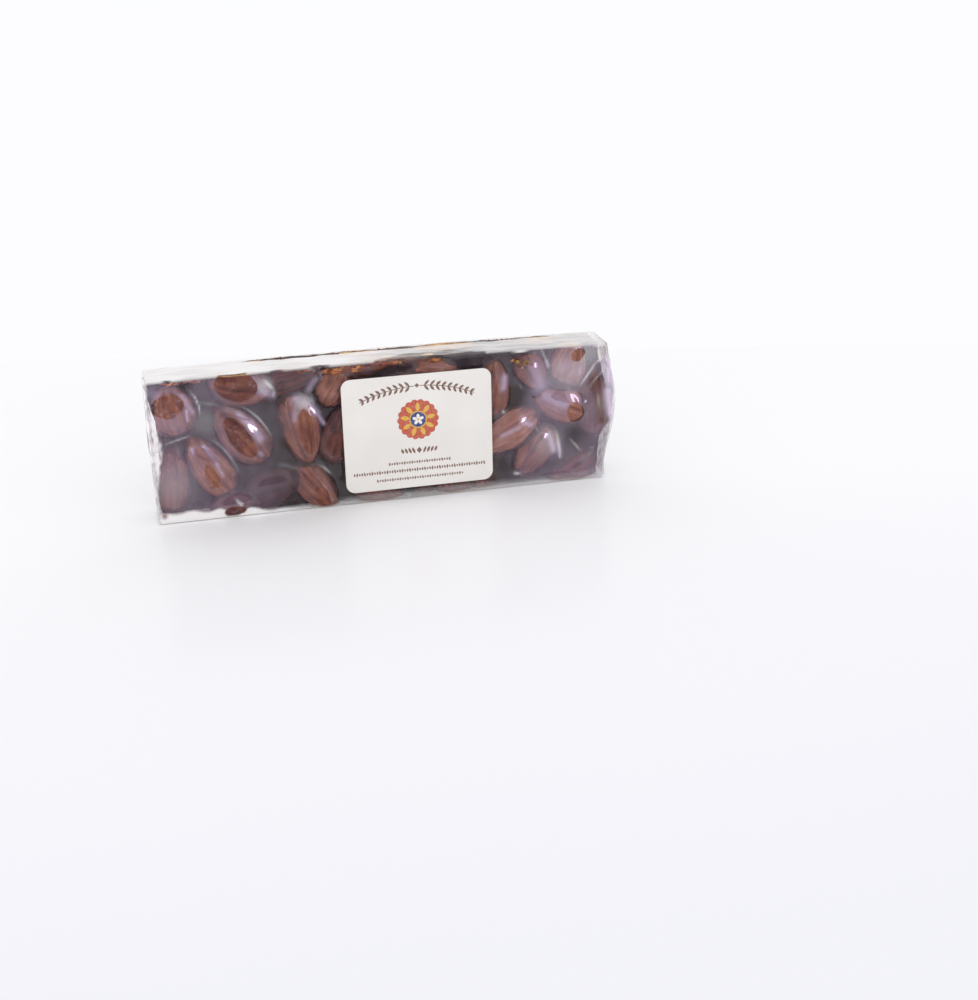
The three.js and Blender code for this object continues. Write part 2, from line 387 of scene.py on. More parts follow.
# Bits of candied peel and burnt sugar under the film: x, z, y, size
PEEL_BITS = [
    (46.6, 50.2, -8.3, 0.9),
    (48.6, 49.4, -8.5, 1.1),
    (51.6, 48.8, -8.4, 1.3),
    (50.2, 47.2, -8.3, 0.6),
    (4.3, 53.3, -8.3, 0.9),
    (55.0, 34.8, -9.0, 0.5),
]


def linear(code):
    """An sRGB hex colour as linear red, green and blue."""
    parts = [int(code[i : i + 2], 16) / 255 for i in (1, 3, 5)]
    return tuple(c / 12.92 if c <= 0.04045 else ((c + 0.055) / 1.055) ** 2.4 for c in parts)


def clamp(value, low, high):
    return min(high, max(low, value))


def cos_sin(degrees):
    return math.cos(math.radians(degrees)), math.sin(math.radians(degrees))


def bump(t):
    """A smooth hump of height 1 that ends at -1 and 1."""
    return (1 - np.clip(np.abs(t), 0, 1) ** 2) ** 2


def smoothstep(low, high, value):
    t = np.clip((value - low) / (high - low), 0, 1)
    return t * t * (3 - 2 * t)


def noise(x, z, size, seed):
    """Soft noise from -1 to 1 with humps of about this size, as a sum of turned sine waves."""
    draw = random.Random(seed)
    waves = 9
    total = 0.0 * (x + z)
    for _ in range(waves):
        turn = draw.uniform(0, 2 * math.pi)
        pitch = 2 * math.pi / (size * draw.uniform(1.3, 3.2))
        shift = draw.uniform(0, 2 * math.pi)
        total = total + np.sin(pitch * (x * math.cos(turn) + z * math.sin(turn)) + shift)
    return np.clip(total / math.sqrt(waves * 1.6), -1, 1)


# Layout of the almonds


def make_random(seed):
    """The part's own repeatable source of numbers from 0 to 1."""
    state = seed
    while True:
        state = (state * 16807) % 2147483647
        yield state / 2147483647


def spine(almond):
    x, z, turn, length = almond[:4]
    reach = Vector(cos_sin(turn)) * length * SPINE_SHARE
    return Vector((x, z)) - reach, Vector((x, z)) + reach


def point_to_spine(point, ends):
    along = ends[1] - ends[0]
    t = clamp((point - ends[0]).dot(along) / along.length_squared, 0, 1)
    return (ends[0] + along * t - point).length


def spine_gap(one, other):
    return min(
        point_to_spine(one[0], other),
        point_to_spine(one[1], other),
        point_to_spine(other[0], one),
        point_to_spine(other[1], one),
    )


def fill_face(placed, seed):
    """The shown almonds, and more at random wherever one fits, as in the part's source."""
    numbers = make_random(seed)
    almonds = list(placed)

    def between(span):
        return span[0] + (span[1] - span[0]) * next(numbers)

    for _ in range(LAYOUT_TRIES):
        x = (next(numbers) - 0.5) * 2 * (HALF_LENGTH - LAYOUT_MARGIN)
        z = next(numbers) * HEIGHT
        turn = next(numbers) * 180
        length = between(ALMOND_LENGTHS)
        width = length * between(ALMOND_SLIMNESS)
        sink = between(ALMOND_SINKS)
        almond = (x, z, turn, length, width, sink, 0.0, 0.0)
        own = spine(almond)
        if all(spine_gap(own, spine(other)) > ALMOND_SPACING for other in almonds):
            almonds.append(almond)
    return almonds


def fill_deep(almonds, seed):
    """More almonds, set deeper, wherever the others leave a gap."""
    draw = random.Random(seed)
    deep = []
    left, right, level = DEEP_MARGINS
    for _ in range(DEEP_TRIES):
        x, z = draw.uniform(-HALF_LENGTH + left, HALF_LENGTH - right), draw.uniform(level, HEIGHT - level)
        length = draw.uniform(*DEEP_LENGTHS)
        width = length * draw.uniform(*ALMOND_SLIMNESS)
        almond = (x, z, draw.uniform(0, 360), length, width, draw.uniform(*DEEP_SINKS), 0.0, 0.0)
        own = spine(almond)
        if all(spine_gap(own, spine(other)) > DEEP_SPACING for other in almonds + deep):
            deep.append(almond)
    return deep


class Almond:
    """One whole almond against a large face; levels are distances from the bar's middle plane."""

    def __init__(self, x, z, turn, length, width, sink, crest_x, crest_z):
        self.x, self.z, self.turn = x, z, math.radians(turn)
        self.length, self.width = length * COAT_LENGTH, width * COAT_WIDTH
        rho, sigma = self.shares(crest_x, crest_z)
        rise = math.sqrt(1 - rho * rho - sigma * sigma)
        # leaning the almond by these moves its crest to the wanted place
        self.lean_along = HALF_THICKNESS * rho / rise
        self.lean_across = HALF_THICKNESS * sigma / rise
        top = math.sqrt(HALF_THICKNESS**2 + self.lean_along**2 + self.lean_across**2)
        self.middle = FILM_CREST_Y - FILM_GAP - sink - top

    def shares(self, dx, dz):
        """A step from the almond's middle as shares of its half length and half width."""
        cos, sin = math.cos(self.turn), math.sin(self.turn)
        return 2 * (dx * cos + dz * sin) / self.length, 2 * (dz * cos - dx * sin) / self.width

    def level(self, x, z):
        """How far out the almond's skin stands over a place of the face."""
        rho, sigma = self.shares(x - self.x, z - self.z)
        inside = 1 - rho**2 - (sigma / (1 - TAPER * np.clip(rho, -1, 1))) ** 2
        lean = self.lean_along * rho + self.lean_across * sigma
        crown = HALF_THICKNESS * np.sqrt(np.clip(inside, 0, 1))
        return np.where(inside > 0, self.middle + lean + crown, -99.0)

    def place(self, side):
        """Matrix from a sphere of radius 1, long way along X and flat way along Y, to this almond."""
        a, b = self.length / 2, self.width / 2
        cos, sin = math.cos(self.turn), math.sin(self.turn)
        rows = (
            (a * cos, 0, -b * sin, self.x),
            (side * self.lean_along, HALF_THICKNESS, side * self.lean_across, side * self.middle),
            (a * sin, 0, b * cos, self.z),
            (0, 0, 0, 1 / MM),
        )
        return Matrix(rows) * MM

    def duck_label(self):
        """Sinks the almond until it clears the flat film under the label."""
        along = np.linspace(LABEL_LOW[0], LABEL_HIGH[0], 80)
        up = np.linspace(LABEL_LOW[2], LABEL_HIGH[2], 60)
        x, z = np.meshgrid(along, up)
        self.middle -= max(0.0, float(self.level(x, z).max()) - LABEL_SEAT_Y + LABEL_GAP)


def lay_face(placed, seed):
    """The almonds that the film touches on one large face, and those set deeper."""
    outer = fill_face(placed, seed)
    return [[Almond(*values) for values in almonds] for almonds in (outer, fill_deep(outer, seed))]


FRONT, FRONT_DEEP = lay_face(SHOWN_ALMONDS, FRONT_SEED)
BACK, BACK_DEEP = lay_face([], BACK_SEED)
FRONT[TOP_ALMOND].z -= TOP_ALMOND_DROP
FRONT[END_ALMOND].x -= END_ALMOND_INSET
for covered in FRONT:
    covered.duck_label()
ALL_ALMONDS = (FRONT + FRONT_DEEP, BACK + BACK_DEEP)


# Outlines of the wrapper and of the cut bar inside it


def stations(steps, size):
    """Places along one side of the bar: even, but for a short first and last step at the fold."""
    places = EDGE_RADIUS + (np.arange(steps + 1) - 1) / (steps - 2) * (size - 2 * EDGE_RADIUS)
    places[0], places[-1] = 0, size
    return places


def right_inset(behind, z):
    push = bump((z - RIGHT_BULGE_Z) / RIGHT_BULGE_REACH) * (1 - RIGHT_BULGE_BEHIND * behind)
    return RIGHT_BULGE * (1 - push)


def pack_x(along, behind, z):
    """Place along the bar of a share of its length; behind runs from 0 at the front to 1."""
    share = along / (2 * HALF_LENGTH)
    fade = np.clip((share - 1 + RIGHT_BULGE_SPREAD) / RIGHT_BULGE_SPREAD, 0, 1)
    return along - HALF_LENGTH - right_inset(behind, z) * fade


def pack_top(x):
    return HEIGHT - TOP_CROWN * (x / HALF_LENGTH) ** 2


def left_cut(z):
    """The bar's left end inside the film, with a shallow hollow at mid height."""
    return -84.0 - 1.9 * np.cos(2 * math.pi * (z - 50) / 42) + 0.3 * noise(z, 0 * z, 5, 3)


def right_cut(z):
    """The bar's right end inside the film, behind its last almond."""
    return 80.4 + 3.4 * bump((z - 31) / 24) + 0.4 * noise(z, 0 * z, 6, 4)


def top_cut(x):
    """The bar's cut upper side at its middle plane, a little wavy."""
    return pack_top(x) - TOP_GAP + 0.12 * noise(x, 0 * x, 7, 5)


def foot_cut(x):
    """The bar's cut lower side, raised at the left end but for one almond."""
    raised = 2.2 * smoothstep(-42, -62, x) - 1.9 * bump((x + 59.3) / 5.5)
    return CUT_FOOT + np.maximum(raised, 0) + 0.2 * noise(x, 0 * x, 7, 6)


def smooth_max(a, b, reach):
    """The larger of two levels, with a fillet where they cross."""
    blend = np.clip(reach - np.abs(a - b), 0, None) / reach
    return np.maximum(a, b) + blend * blend * reach / 4


def caramel_level(x, z, behind):
    """The caramel between the almonds at the front (0) or behind (1): it sags in the gaps, climbs up
    their sides and swells along the cut upper edge."""
    level = CARAMEL_Y + 0.5 * noise(x, z, 8, 7) + 0.2 * noise(x, z, 2.5, 9)
    swell = SWELLS[behind] + 0.3 * noise(x, 0 * x, 5, 10)
    level = level + swell * smoothstep(SWELL_FROM, SWELL_TO, z)
    for almond in ALL_ALMONDS[behind]:
        level = smooth_max(level, almond.level(x, z) - COAT_DROP, CARAMEL_FILLET)
    return level


# Modelling helpers


def deselect():
    for item in bpy.context.selected_objects:
        item.select_set(False)


def activate(item):
    deselect()
    item.select_set(True)
    bpy.context.view_layer.objects.active = item


def settle(item):
    """Puts an object's place, turn and scale into its mesh."""
    activate(item)
    bpy.ops.object.transform_apply(location=True, rotation=True, scale=True)


def shade(item, degrees):
    activate(item)
    bpy.ops.object.shade_smooth_by_angle(angle=math.radians(degrees))


def join(items, name):
    activate(items[0])
    for item in items[1:]:
        item.select_set(True)
    if len(items) > 1:
        bpy.ops.object.join()
    items[0].name = name
    items[0].data.name = name
    return items[0]


def tell_frame(item, slot, *nodes):
    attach(item, "root")
    if nodes:
        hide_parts(*nodes)


def new_mesh(name, points, faces):
    """A mesh object from points in millimetres."""
    mesh = bpy.data.meshes.new(name)
    mesh.from_pydata((np.asarray(points, float) * MM).tolist(), [], np.asarray(faces).tolist())
    mesh.update()
    item = bpy.data.objects.new(name, mesh)
    bpy.context.collection.objects.link(item)
    return item


def grid_faces(rows, columns):
    """Quads between the points of a grid."""
    index = np.arange(rows * columns).reshape(rows, columns)
    quads = np.stack([index[:-1, :-1], index[1:, :-1], index[1:, 1:], index[:-1, 1:]], axis=-1)
    return quads.reshape(-1, 4)


def box_skin(name, steps, place):
    """A closed box in steps along, across and up, each of whose points lies where place puts it."""
    keys, faces, count = [], [], 0
    for axis in range(3):
        for end in (0, steps[axis]):
            lines = [np.arange(n + 1) for n in steps]
            lines[axis] = np.array([end])
            corners = np.stack(np.meshgrid(*lines, indexing="ij"), axis=-1).reshape(-1, 3)
            rows, columns = [n + 1 for a, n in enumerate(steps) if a != axis]
            quads = grid_faces(rows, columns) + count
            outwards = (end > 0) == (axis != 1)
            keys.append(corners)
            faces.append(quads if outwards else quads[:, ::-1])
            count += len(corners)
    unique, inverse = np.unique(np.concatenate(keys), axis=0, return_inverse=True)
    faces = inverse.reshape(-1)[np.concatenate(faces)]
    i, j, k = unique.T
    return new_mesh(name, place(i, j, k), faces), unique


def store(mesh, name, values):
    """A number for each point of a mesh, which its material reads."""
    layer = mesh.attributes.new(name, "FLOAT", "POINT")
    layer.data.foreach_set("value", np.asarray(values, np.float32))


# Materials


def new_material(name):
    material = bpy.data.materials.new(name)
    material.use_nodes = True
    material.node_tree.nodes.clear()
    return material


def add(material, kind, settings=None, inputs=None, stops=(), **links):
    """One node with its settings, its inputs' values or links by name or number, the positions and
    linear colours of a ramp, and its links by input name."""
    tree = material.node_tree
    node = tree.nodes.new("ShaderNode" + kind)
    for key, value in (settings or {}).items():
        setattr(node, key, value)
    for key, value in (inputs or {}).items():
        if isinstance(value, bpy.types.NodeSocket):
            tree.links.new(value, node.inputs[key])
        else:
            node.inputs[key].default_value = value
    for key, value in links.items():
        tree.links.new(value, node.inputs[key.replace("_", " ")])
    for position, _ in stops[1:-1]:
        node.color_ramp.elements.new(position)
    for number, (position, colour) in enumerate(stops):
        node.color_ramp.elements[number].position = position
        node.color_ramp.elements[number].color = rgba(colour)
    return node


def rgba(colour):
    return (*colour[:3], 1.0)


def almond_skin(props):
    """Roasted almond skin under a coat of clear caramel: red-brown with pale and dark streaks along
    the nut, and a wet gloss."""
    m = new_material("roasted_almond_skin")
    uv = add(m, "TexCoord").outputs["UV"]
    along = add(m, "Mapping", inputs={"Vector": uv, "Scale": (26.0, 2.2, 1.0)}).outputs[0]
    streak = add(m, "TexNoise", {"noise_dimensions": "3D"}, {"Vector": along, "Scale": 1.0, "Detail": 4.0})
    place = add(m, "TexCoord").outputs["Object"]
    blotch = add(m, "TexNoise", inputs={"Vector": place, "Scale": 240.0, "Detail": 5.0, "Roughness": 0.7})
    tone = add(m, "Attribute", {"attribute_name": "tone"}).outputs["Fac"]
    mixed = add(m, "Math", {"operation": "MULTIPLY_ADD"}, {0: blotch.outputs["Fac"], 1: 0.6, 2: tone})
    total = add(
        m, "Math", {"operation": "MULTIPLY_ADD"}, {0: streak.outputs["Fac"], 1: 0.75, 2: mixed.outputs[0]}
    )
    scaled = add(m, "Math", {"operation": "MULTIPLY"}, {0: total.outputs[0], 1: 0.8})
    stops = [
        (0.36, props.skin_dark),
        (0.51, props.skin),
        (0.67, props.skin_light),
        (0.86, props.skin_pale),
    ]
    colour = add(m, "ValToRGB", stops=stops, Fac=scaled.outputs[0]).outputs[0]
    grooves = add(m, "Bump", inputs={"Strength": 0.8, "Distance": 0.0004, "Height": streak.outputs["Fac"]})
    shader = add(
        m,
        "BsdfPrincipled",
        inputs={
            "Base Color": colour,
            "Roughness": 0.3,
            "Specular IOR Level": 0.25,
            "Normal": grooves.outputs[0],
            "Coat Weight": 0.35,
            "Coat Roughness": 0.12,
            "Coat IOR": 1.46,
        },
    )
    add(m, "OutputMaterial", Surface=shader.outputs[0])
    return m


def cut_flesh(props):
    """A roasted almond's cut inside: cream, browner towards the skin, dry and finely grained."""
    m = new_material("cut_almond_flesh")
    place = add(m, "TexCoord").outputs["Object"]
    grain = add(m, "TexNoise", inputs={"Vector": place, "Scale": 900.0, "Detail": 4.0})
    cloud = add(m, "TexNoise", inputs={"Vector": place, "Scale": 220.0, "Detail": 2.0})
    total = add(
        m, "Math", {"operation": "MULTIPLY_ADD"}, {0: grain.outputs["Fac"], 1: 0.4, 2: cloud.outputs["Fac"]}
    )
    stops = [(0.45, props.flesh_dark), (0.72, props.flesh), (0.95, props.flesh_light)]
    colour = add(m, "ValToRGB", stops=stops, Fac=total.outputs[0]).outputs[0]
    dents = add(m, "Bump", inputs={"Strength": 0.5, "Distance": 0.0002, "Height": grain.outputs["Fac"]})
    shader = add(
        m,
        "BsdfPrincipled",
        inputs={"Base Color": colour, "Roughness": 0.6, "Normal": dents.outputs[0]},
    )
    add(m, "OutputMaterial", Surface=shader.outputs[0])
    return m


def set_caramel(props):
    """Caramel boiled nearly black and set hard: very glossy, a little uneven, amber where it is thin."""
    m = new_material("dark_set_caramel")
    place = add(m, "TexCoord").outputs["Object"]
    cloud = add(m, "TexNoise", inputs={"Vector": place, "Scale": 120.0, "Detail": 3.0})
    thin = add(m, "Attribute", {"attribute_name": "thin"}).outputs["Fac"]
    total = add(m, "Math", {"operation": "MULTIPLY_ADD"}, {0: cloud.outputs["Fac"], 1: 0.5, 2: thin})
    stops = [(0.2, props.caramel_dark), (0.55, props.caramel), (1.0, props.caramel_thin)]
    colour = add(m, "ValToRGB", stops=stops, Fac=total.outputs[0]).outputs[0]
    ripples = add(m, "TexNoise", inputs={"Vector": place, "Scale": 260.0, "Detail": 2.0})
    uneven = add(m, "Bump", inputs={"Strength": 0.25, "Distance": 0.0003, "Height": ripples.outputs["Fac"]})
    shader = add(
        m,
        "BsdfPrincipled",
        inputs={"Base Color": colour, "Roughness": 0.16, "IOR": 1.5, "Normal": uneven.outputs[0]},
    )
    add(m, "OutputMaterial", Surface=shader.outputs[0])
    return m


def clear_film(props):
    """Thin clear polypropylene film: it mirrors the white room softly wherever air lies under it, turns
    milky in its folds, and all but vanishes where it wets an almond. Its white also carries painted
    reflections and highlights, and a thin painted highlight rings each wetted patch."""
    m = new_material("clear_polypropylene_film")
    touch = add(m, "Attribute", {"attribute_name": "touch"}).outputs["Fac"]
    haze = add(m, "Attribute", {"attribute_name": "haze"}).outputs["Fac"]
    place = add(m, "TexCoord").outputs["Object"]
    edge = add(m, "TexNoise", inputs={"Vector": place, "Scale": 520.0, "Detail": 4.0, "Roughness": 0.6})
    frayed = add(m, "Math", {"operation": "MULTIPLY_ADD"}, {0: edge.outputs["Fac"], 1: 0.6, 2: touch})
    contact = add(
        m, "MapRange", {"interpolation_type": "SMOOTHSTEP"}, {"Value": frayed.outputs[0], 1: 0.24, 2: 0.36}
    ).outputs[0]
    wrinkle = add(m, "TexNoise", inputs={"Vector": place, "Scale": 140.0, "Detail": 3.0, "Distortion": 0.6})
    uneven = add(m, "Bump", inputs={"Strength": 0.12, "Distance": 0.0004, "Height": wrinkle.outputs["Fac"]})
    facing = add(m, "LayerWeight", inputs={"Blend": 0.5, "Normal": uneven.outputs[0]}).outputs["Facing"]
    steep = add(m, "Math", {"operation": "POWER"}, {0: facing, 1: 3.0})
    veil = add(m, "Attribute", {"attribute_name": "veil"}).outputs["Fac"]
    flat = add(m, "Math", {"operation": "MULTIPLY"}, {0: veil, 1: 0.115})
    mirror = add(
        m,
        "Math",
        {"operation": "MULTIPLY_ADD", "use_clamp": True},
        {0: steep.outputs[0], 1: 0.85, 2: flat.outputs[0]},
    )
    bubble = add(m, "TexNoise", inputs={"Vector": place, "Scale": 1100.0, "Detail": 1.0})
    wetted = add(m, "MapRange", {}, {"Value": bubble.outputs["Fac"], 1: 0.58, 2: 0.72, 3: -0.9, 4: -0.2})
    lifted = add(m, "Math", {"operation": "MULTIPLY_ADD"}, {0: contact, 1: wetted.outputs[0], 2: 1.0})
    share = add(m, "Math", {"operation": "MULTIPLY"}, {0: mirror.outputs[0], 1: lifted.outputs[0]})
    clear = add(m, "BsdfTransparent")
    stops = [(0.15, props.film_tint), (0.5, props.film_milk_and_painted_sheen)]
    mirrored = add(m, "ValToRGB", stops=stops, Fac=facing).outputs[0]
    shine = add(
        m, "BsdfAnisotropic", inputs={"Color": mirrored, "Roughness": 0.08, "Normal": uneven.outputs[0]}
    )
    glossy = add(m, "MixShader", inputs={0: share.outputs[0], 1: clear.outputs[0], 2: shine.outputs[0]})
    # painted highlight: a thin white rim round each wetted patch, added to the milky share
    away = add(m, "Math", {"operation": "SUBTRACT"}, {0: frayed.outputs[0], 1: 0.26})
    near = add(m, "Math", {"operation": "ABSOLUTE"}, {0: away.outputs[0]})
    painted_rim_highlight = add(
        m,
        "MapRange",
        {"interpolation_type": "SMOOTHSTEP"},
        {"Value": near.outputs[0], 1: 0.0, 2: 0.06, 3: 0.06, 4: 0.0},
    )
    white = add(m, "Math", {"operation": "ADD", "use_clamp": True}, {0: painted_rim_highlight.outputs[0], 1: haze})
    milk_and_painted_sheen = add(m, "BsdfDiffuse", inputs={"Color": rgba(props.film_milk_and_painted_sheen)})
    both = add(m, "MixShader", inputs={0: white.outputs[0], 1: glossy.outputs[0], 2: milk_and_painted_sheen.outputs[0]})
    add(m, "OutputMaterial", Surface=both.outputs[0])
    return m


def label_paper(props):
    """Satin coated label paper: warm white, with faint fibres."""
    m = new_material("satin_label_paper")
    place = add(m, "TexCoord").outputs["Object"]
    fibre = add(m, "TexNoise", inputs={"Vector": place, "Scale": 1500.0, "Detail": 3.0})
    cloud = add(m, "TexNoise", inputs={"Vector": place, "Scale": 60.0, "Detail": 1.0})
    total = add(
        m, "Math", {"operation": "MULTIPLY_ADD"}, {0: fibre.outputs["Fac"], 1: 0.3, 2: cloud.outputs["Fac"]}
    )
    stops = [(0.4, props.paper_shade), (0.9, props.paper)]
    colour = add(m, "ValToRGB", stops=stops, Fac=total.outputs[0]).outputs[0]
    tooth = add(m, "Bump", inputs={"Strength": 0.08, "Distance": 0.0001, "Height": fibre.outputs["Fac"]})
    shader = add(
        m,
        "BsdfPrincipled",
        inputs={"Base Color": colour, "Roughness": 0.5, "Normal": tooth.outputs[0]},
    )
    add(m, "OutputMaterial", Surface=shader.outputs[0])
    return m


def printing_ink(name, colour):
    """Printing ink on satin paper: a flat colour that thins out a little over the fibres."""
    m = new_material(name)
    place = add(m, "TexCoord").outputs["Object"]
    fibre = add(m, "TexNoise", inputs={"Vector": place, "Scale": 1200.0, "Detail": 3.0})
    pale = tuple(c + (1 - c) * 0.12 for c in colour)
    stops = [(0.35, colour), (0.75, pale)]
    worn = add(m, "ValToRGB", stops=stops, Fac=fibre.outputs["Fac"]).outputs[0]
    shader = add(m, "BsdfPrincipled", inputs={"Base Color": worn, "Roughness": 0.5})
    add(m, "OutputMaterial", Surface=shader.outputs[0])
    return m


def candied_peel(props):
    """Bits of candied peel and burnt sugar: golden yellow to brown, waxy."""
    m = new_material("candied_peel")
    place = add(m, "TexCoord").outputs["Object"]
    cloud = add(m, "TexNoise", inputs={"Vector": place, "Scale": 320.0, "Detail": 2.0})
    stops = [(0.35, props.fleck_dark), (0.65, props.fleck)]
    colour = add(m, "ValToRGB", stops=stops, Fac=cloud.outputs["Fac"]).outputs[0]
    shader = add(m, "BsdfPrincipled", inputs={"Base Color": colour, "Roughness": 0.35})
    add(m, "OutputMaterial", Surface=shader.outputs[0])
    return m


def amber_caramel(props):
    """Thin splinters of hard caramel: orange to red-brown, like dark glass."""
    m = new_material("amber_caramel_crumbs")
    place = add(m, "TexCoord").outputs["Object"]
    cloud = add(m, "TexNoise", inputs={"Vector": place, "Scale": 260.0, "Detail": 2.0})
    stops = [(0.35, props.amber_dark), (0.5, props.amber), (0.7, props.amber_light)]
    colour = add(m, "ValToRGB", stops=stops, Fac=cloud.outputs["Fac"]).outputs[0]
    shader = add(m, "BsdfPrincipled", inputs={"Base Color": colour, "Roughness": 0.2})
    add(m, "OutputMaterial", Surface=shader.outputs[0])
    return m


def studio_floor(props):
    """White acrylic sheet: pale, with a faint soft reflection, and a painted shade that makes it a little
    darker in front of the bar than beyond it.
    """
    m = new_material("white_acrylic_sheet")
    place = add(m, "TexCoord").outputs["Object"]
    haze = add(m, "TexNoise", inputs={"Vector": place, "Scale": 3.0, "Detail": 1.0})
    depth = add(m, "SeparateXYZ", Vector=place).outputs["Y"]
    away = add(m, "MapRange", {}, {"Value": depth, 1: -1.2, 2: 0.0, 3: -0.03, 4: 0.97}).outputs[0]
    total = add(m, "Math", {"operation": "MULTIPLY_ADD"}, {0: haze.outputs["Fac"], 1: 0.06, 2: away})
    # painted shade: the nearer colour is a little darker than the far one
    near, far = props.floor, props.floor_light
    stops = [(0.0, far), (0.5, near), (0.78, near), (0.98, far)]
    colour = add(m, "ValToRGB", stops=stops, Fac=total.outputs[0]).outputs[0]
    matt = add(m, "BsdfDiffuse", inputs={"Color": colour})
    shine = add(m, "BsdfAnisotropic", inputs={"Color": (1.0, 1.0, 1.0, 1.0), "Roughness": 0.2})
    both = add(m, "MixShader", inputs={0: 0.05, 1: matt.outputs[0], 2: shine.outputs[0]})
    add(m, "OutputMaterial", Surface=both.outputs[0])
    return m


# Properties that a user would change


def colour_prop(name, code, description):
    return FloatVectorProperty(
        name=name, description=description, subtype="COLOR", default=linear(code), min=0, max=1
    )


class NougatColours(bpy.types.PropertyGroup):
    skin_dark: colour_prop("Dark skin", "#35120d", "Almond skin in its grooves")
    skin: colour_prop("Skin", "#602c20", "Almond skin")
    skin_light: colour_prop("Light skin", "#8a523c", "Almond skin on its ridges")
    skin_pale: colour_prop("Pale skin", "#b5806a", "Almond skin at its palest")
    flesh_dark: colour_prop("Toasted flesh", "#a8794a", "Cut almond near its skin")
    flesh: colour_prop("Flesh", "#d3ad78", "Cut almond")
    flesh_light: colour_prop("Pale flesh", "#ead0a2", "Cut almond at its palest")
    caramel_dark: colour_prop("Dark caramel", "#220f0c", "Caramel where it is thick")
    caramel: colour_prop("Caramel", "#3a1a14", "Caramel")
    caramel_thin: colour_prop("Thin caramel", "#7e3f1c", "Caramel where it is thin over an almond")
    film_tint: colour_prop("Film reflection", "#eed9f8", "Tint of what the film mirrors")
    # the film's white, for its milky folds and for its painted highlights and reflections
    film_milk_and_painted_sheen: colour_prop("Film haze", "#fbf8f7", "The film where it is folded")
    paper: colour_prop("Label paper", "#f5f1ec", "Label paper")
    paper_shade: colour_prop("Label paper shade", "#eeeae4", "Label paper between its fibres")
    ink_red: colour_prop("Red ink", "#c4512f", "Rosette")
    ink_gold: colour_prop("Gold ink", "#e3b23c", "Petals of the rosette")
    ink_blue: colour_prop("Blue ink", "#27357f", "Middle of the rosette")
    ink_brown: colour_prop("Brown ink", "#7c5545", "Garland and rules")
    fleck: colour_prop("Peel", "#d2a455", "Candied peel")
    fleck_dark: colour_prop("Dark peel", "#6b4522", "Candied peel in its folds")
    amber: colour_prop("Amber", "#9a4a1e", "Crumbs of caramel")
    amber_dark: colour_prop("Dark amber", "#4b1d10", "Crumbs of caramel where they are thick")
    amber_light: colour_prop("Pale amber", "#d98f3e", "Crumbs of caramel at their palest")
    # the floor near the camera is a painted shade darker than the floor beyond the bar
    floor: colour_prop("Floor", "#f5f5fa", "Floor near the camera")
    floor_light: colour_prop("Pale floor", "#fefeff", "Floor beyond the bar")


class NougatSizes(bpy.types.PropertyGroup):
    label_thickness: FloatProperty(
        name="Label thickness",
        description="Thickness of the label with its glue",
        default=0.00015,
        unit="LENGTH",
    )
    label_corner: FloatProperty(
        name="Label corner", description="Radius of the label's corners", default=0.0035, unit="LENGTH"
    )
    almond_segments: IntProperty(name="Almond segments", description="Steps round an almond", default=48)
    almond_rings: IntProperty(name="Almond rings", description="Steps along an almond", default=28)
    lamp_strength: FloatProperty(
        name="Lamp strength", description="Power of the soft lamp", default=0.65, unit="POWER"
    )
    world_strength: FloatProperty(name="Room light", description="Strength of the white room", default=1.0)


# Almonds


def almond_kind(number, sizes):
    """A sphere of radius 1 drawn out to an almond's form: a pulled tip and grooves along it."""
    deselect()
    bpy.ops.mesh.primitive_uv_sphere_add(
        segments=sizes.almond_segments, ring_count=sizes.almond_rings, radius=1, rotation=(0, math.pi / 2, 0)
    )
    item = bpy.context.object
    settle(item)
    bpy.ops.object.mode_set(mode="EDIT")
    mesh = bmesh.from_edit_mesh(item.data)
    for vert in mesh.verts:
        vert.select_set(vert.co.x > 0.9999)
    mesh.select_flush_mode()
    bmesh.update_edit_mesh(item.data)
    bpy.ops.transform.translate(
        value=(TIP_PULL, 0, 0),
        use_proportional_edit=True,
        proportional_edit_falloff="SHARP",
        proportional_size=TIP_REACH,
    )
    bpy.ops.mesh.select_all(action="SELECT")
    bpy.ops.transform.resize(value=(1 / GROOVE_STRETCH, 1, 1), center_override=(0, 0, 0))
    bpy.ops.object.mode_set(mode="OBJECT")
    clouds = bpy.data.textures.new("almond_grooves", "CLOUDS")
    clouds.noise_scale = GROOVE_SIZE
    clouds.noise_depth = 3
    grooves = item.modifiers.new("grooves", "DISPLACE")
    grooves.texture = clouds
    grooves.strength = GROOVE_DEPTH
    grooves.texture_coords = "OBJECT"
    offset = bpy.data.objects.new("groove_offset", None)
    offset.location = (3.7 * number, 1.3 * number, 0)
    bpy.context.collection.objects.link(offset)
    bpy.context.view_layer.update()
    grooves.texture_coords_object = offset
    bpy.ops.object.modifier_apply(modifier=grooves.name)
    bpy.data.objects.remove(offset)
    bpy.ops.object.mode_set(mode="EDIT")
    bpy.ops.mesh.select_all(action="SELECT")
    bpy.ops.transform.resize(value=(GROOVE_STRETCH, 1, 1), center_override=(0, 0, 0))
    bpy.ops.object.mode_set(mode="OBJECT")
    smooth_tips(item)
    for vert in item.data.vertices:
        vert.co.z *= 1 - TAPER * clamp(vert.co.x, -1, 1)
    return item


def smooth_tips(item):
    """Lets the grooves run out towards both tips."""
    bpy.ops.object.mode_set(mode="EDIT")
    for start in TIP_STEPS:
        mesh = bmesh.from_edit_mesh(item.data)
        for vert in mesh.verts:
            vert.select_set(abs(vert.co.x) > start)
        mesh.select_flush_mode()
        bmesh.update_edit_mesh(item.data)
        bpy.ops.mesh.vertices_smooth(factor=0.5, repeat=3)
    bpy.ops.object.mode_set(mode="OBJECT")


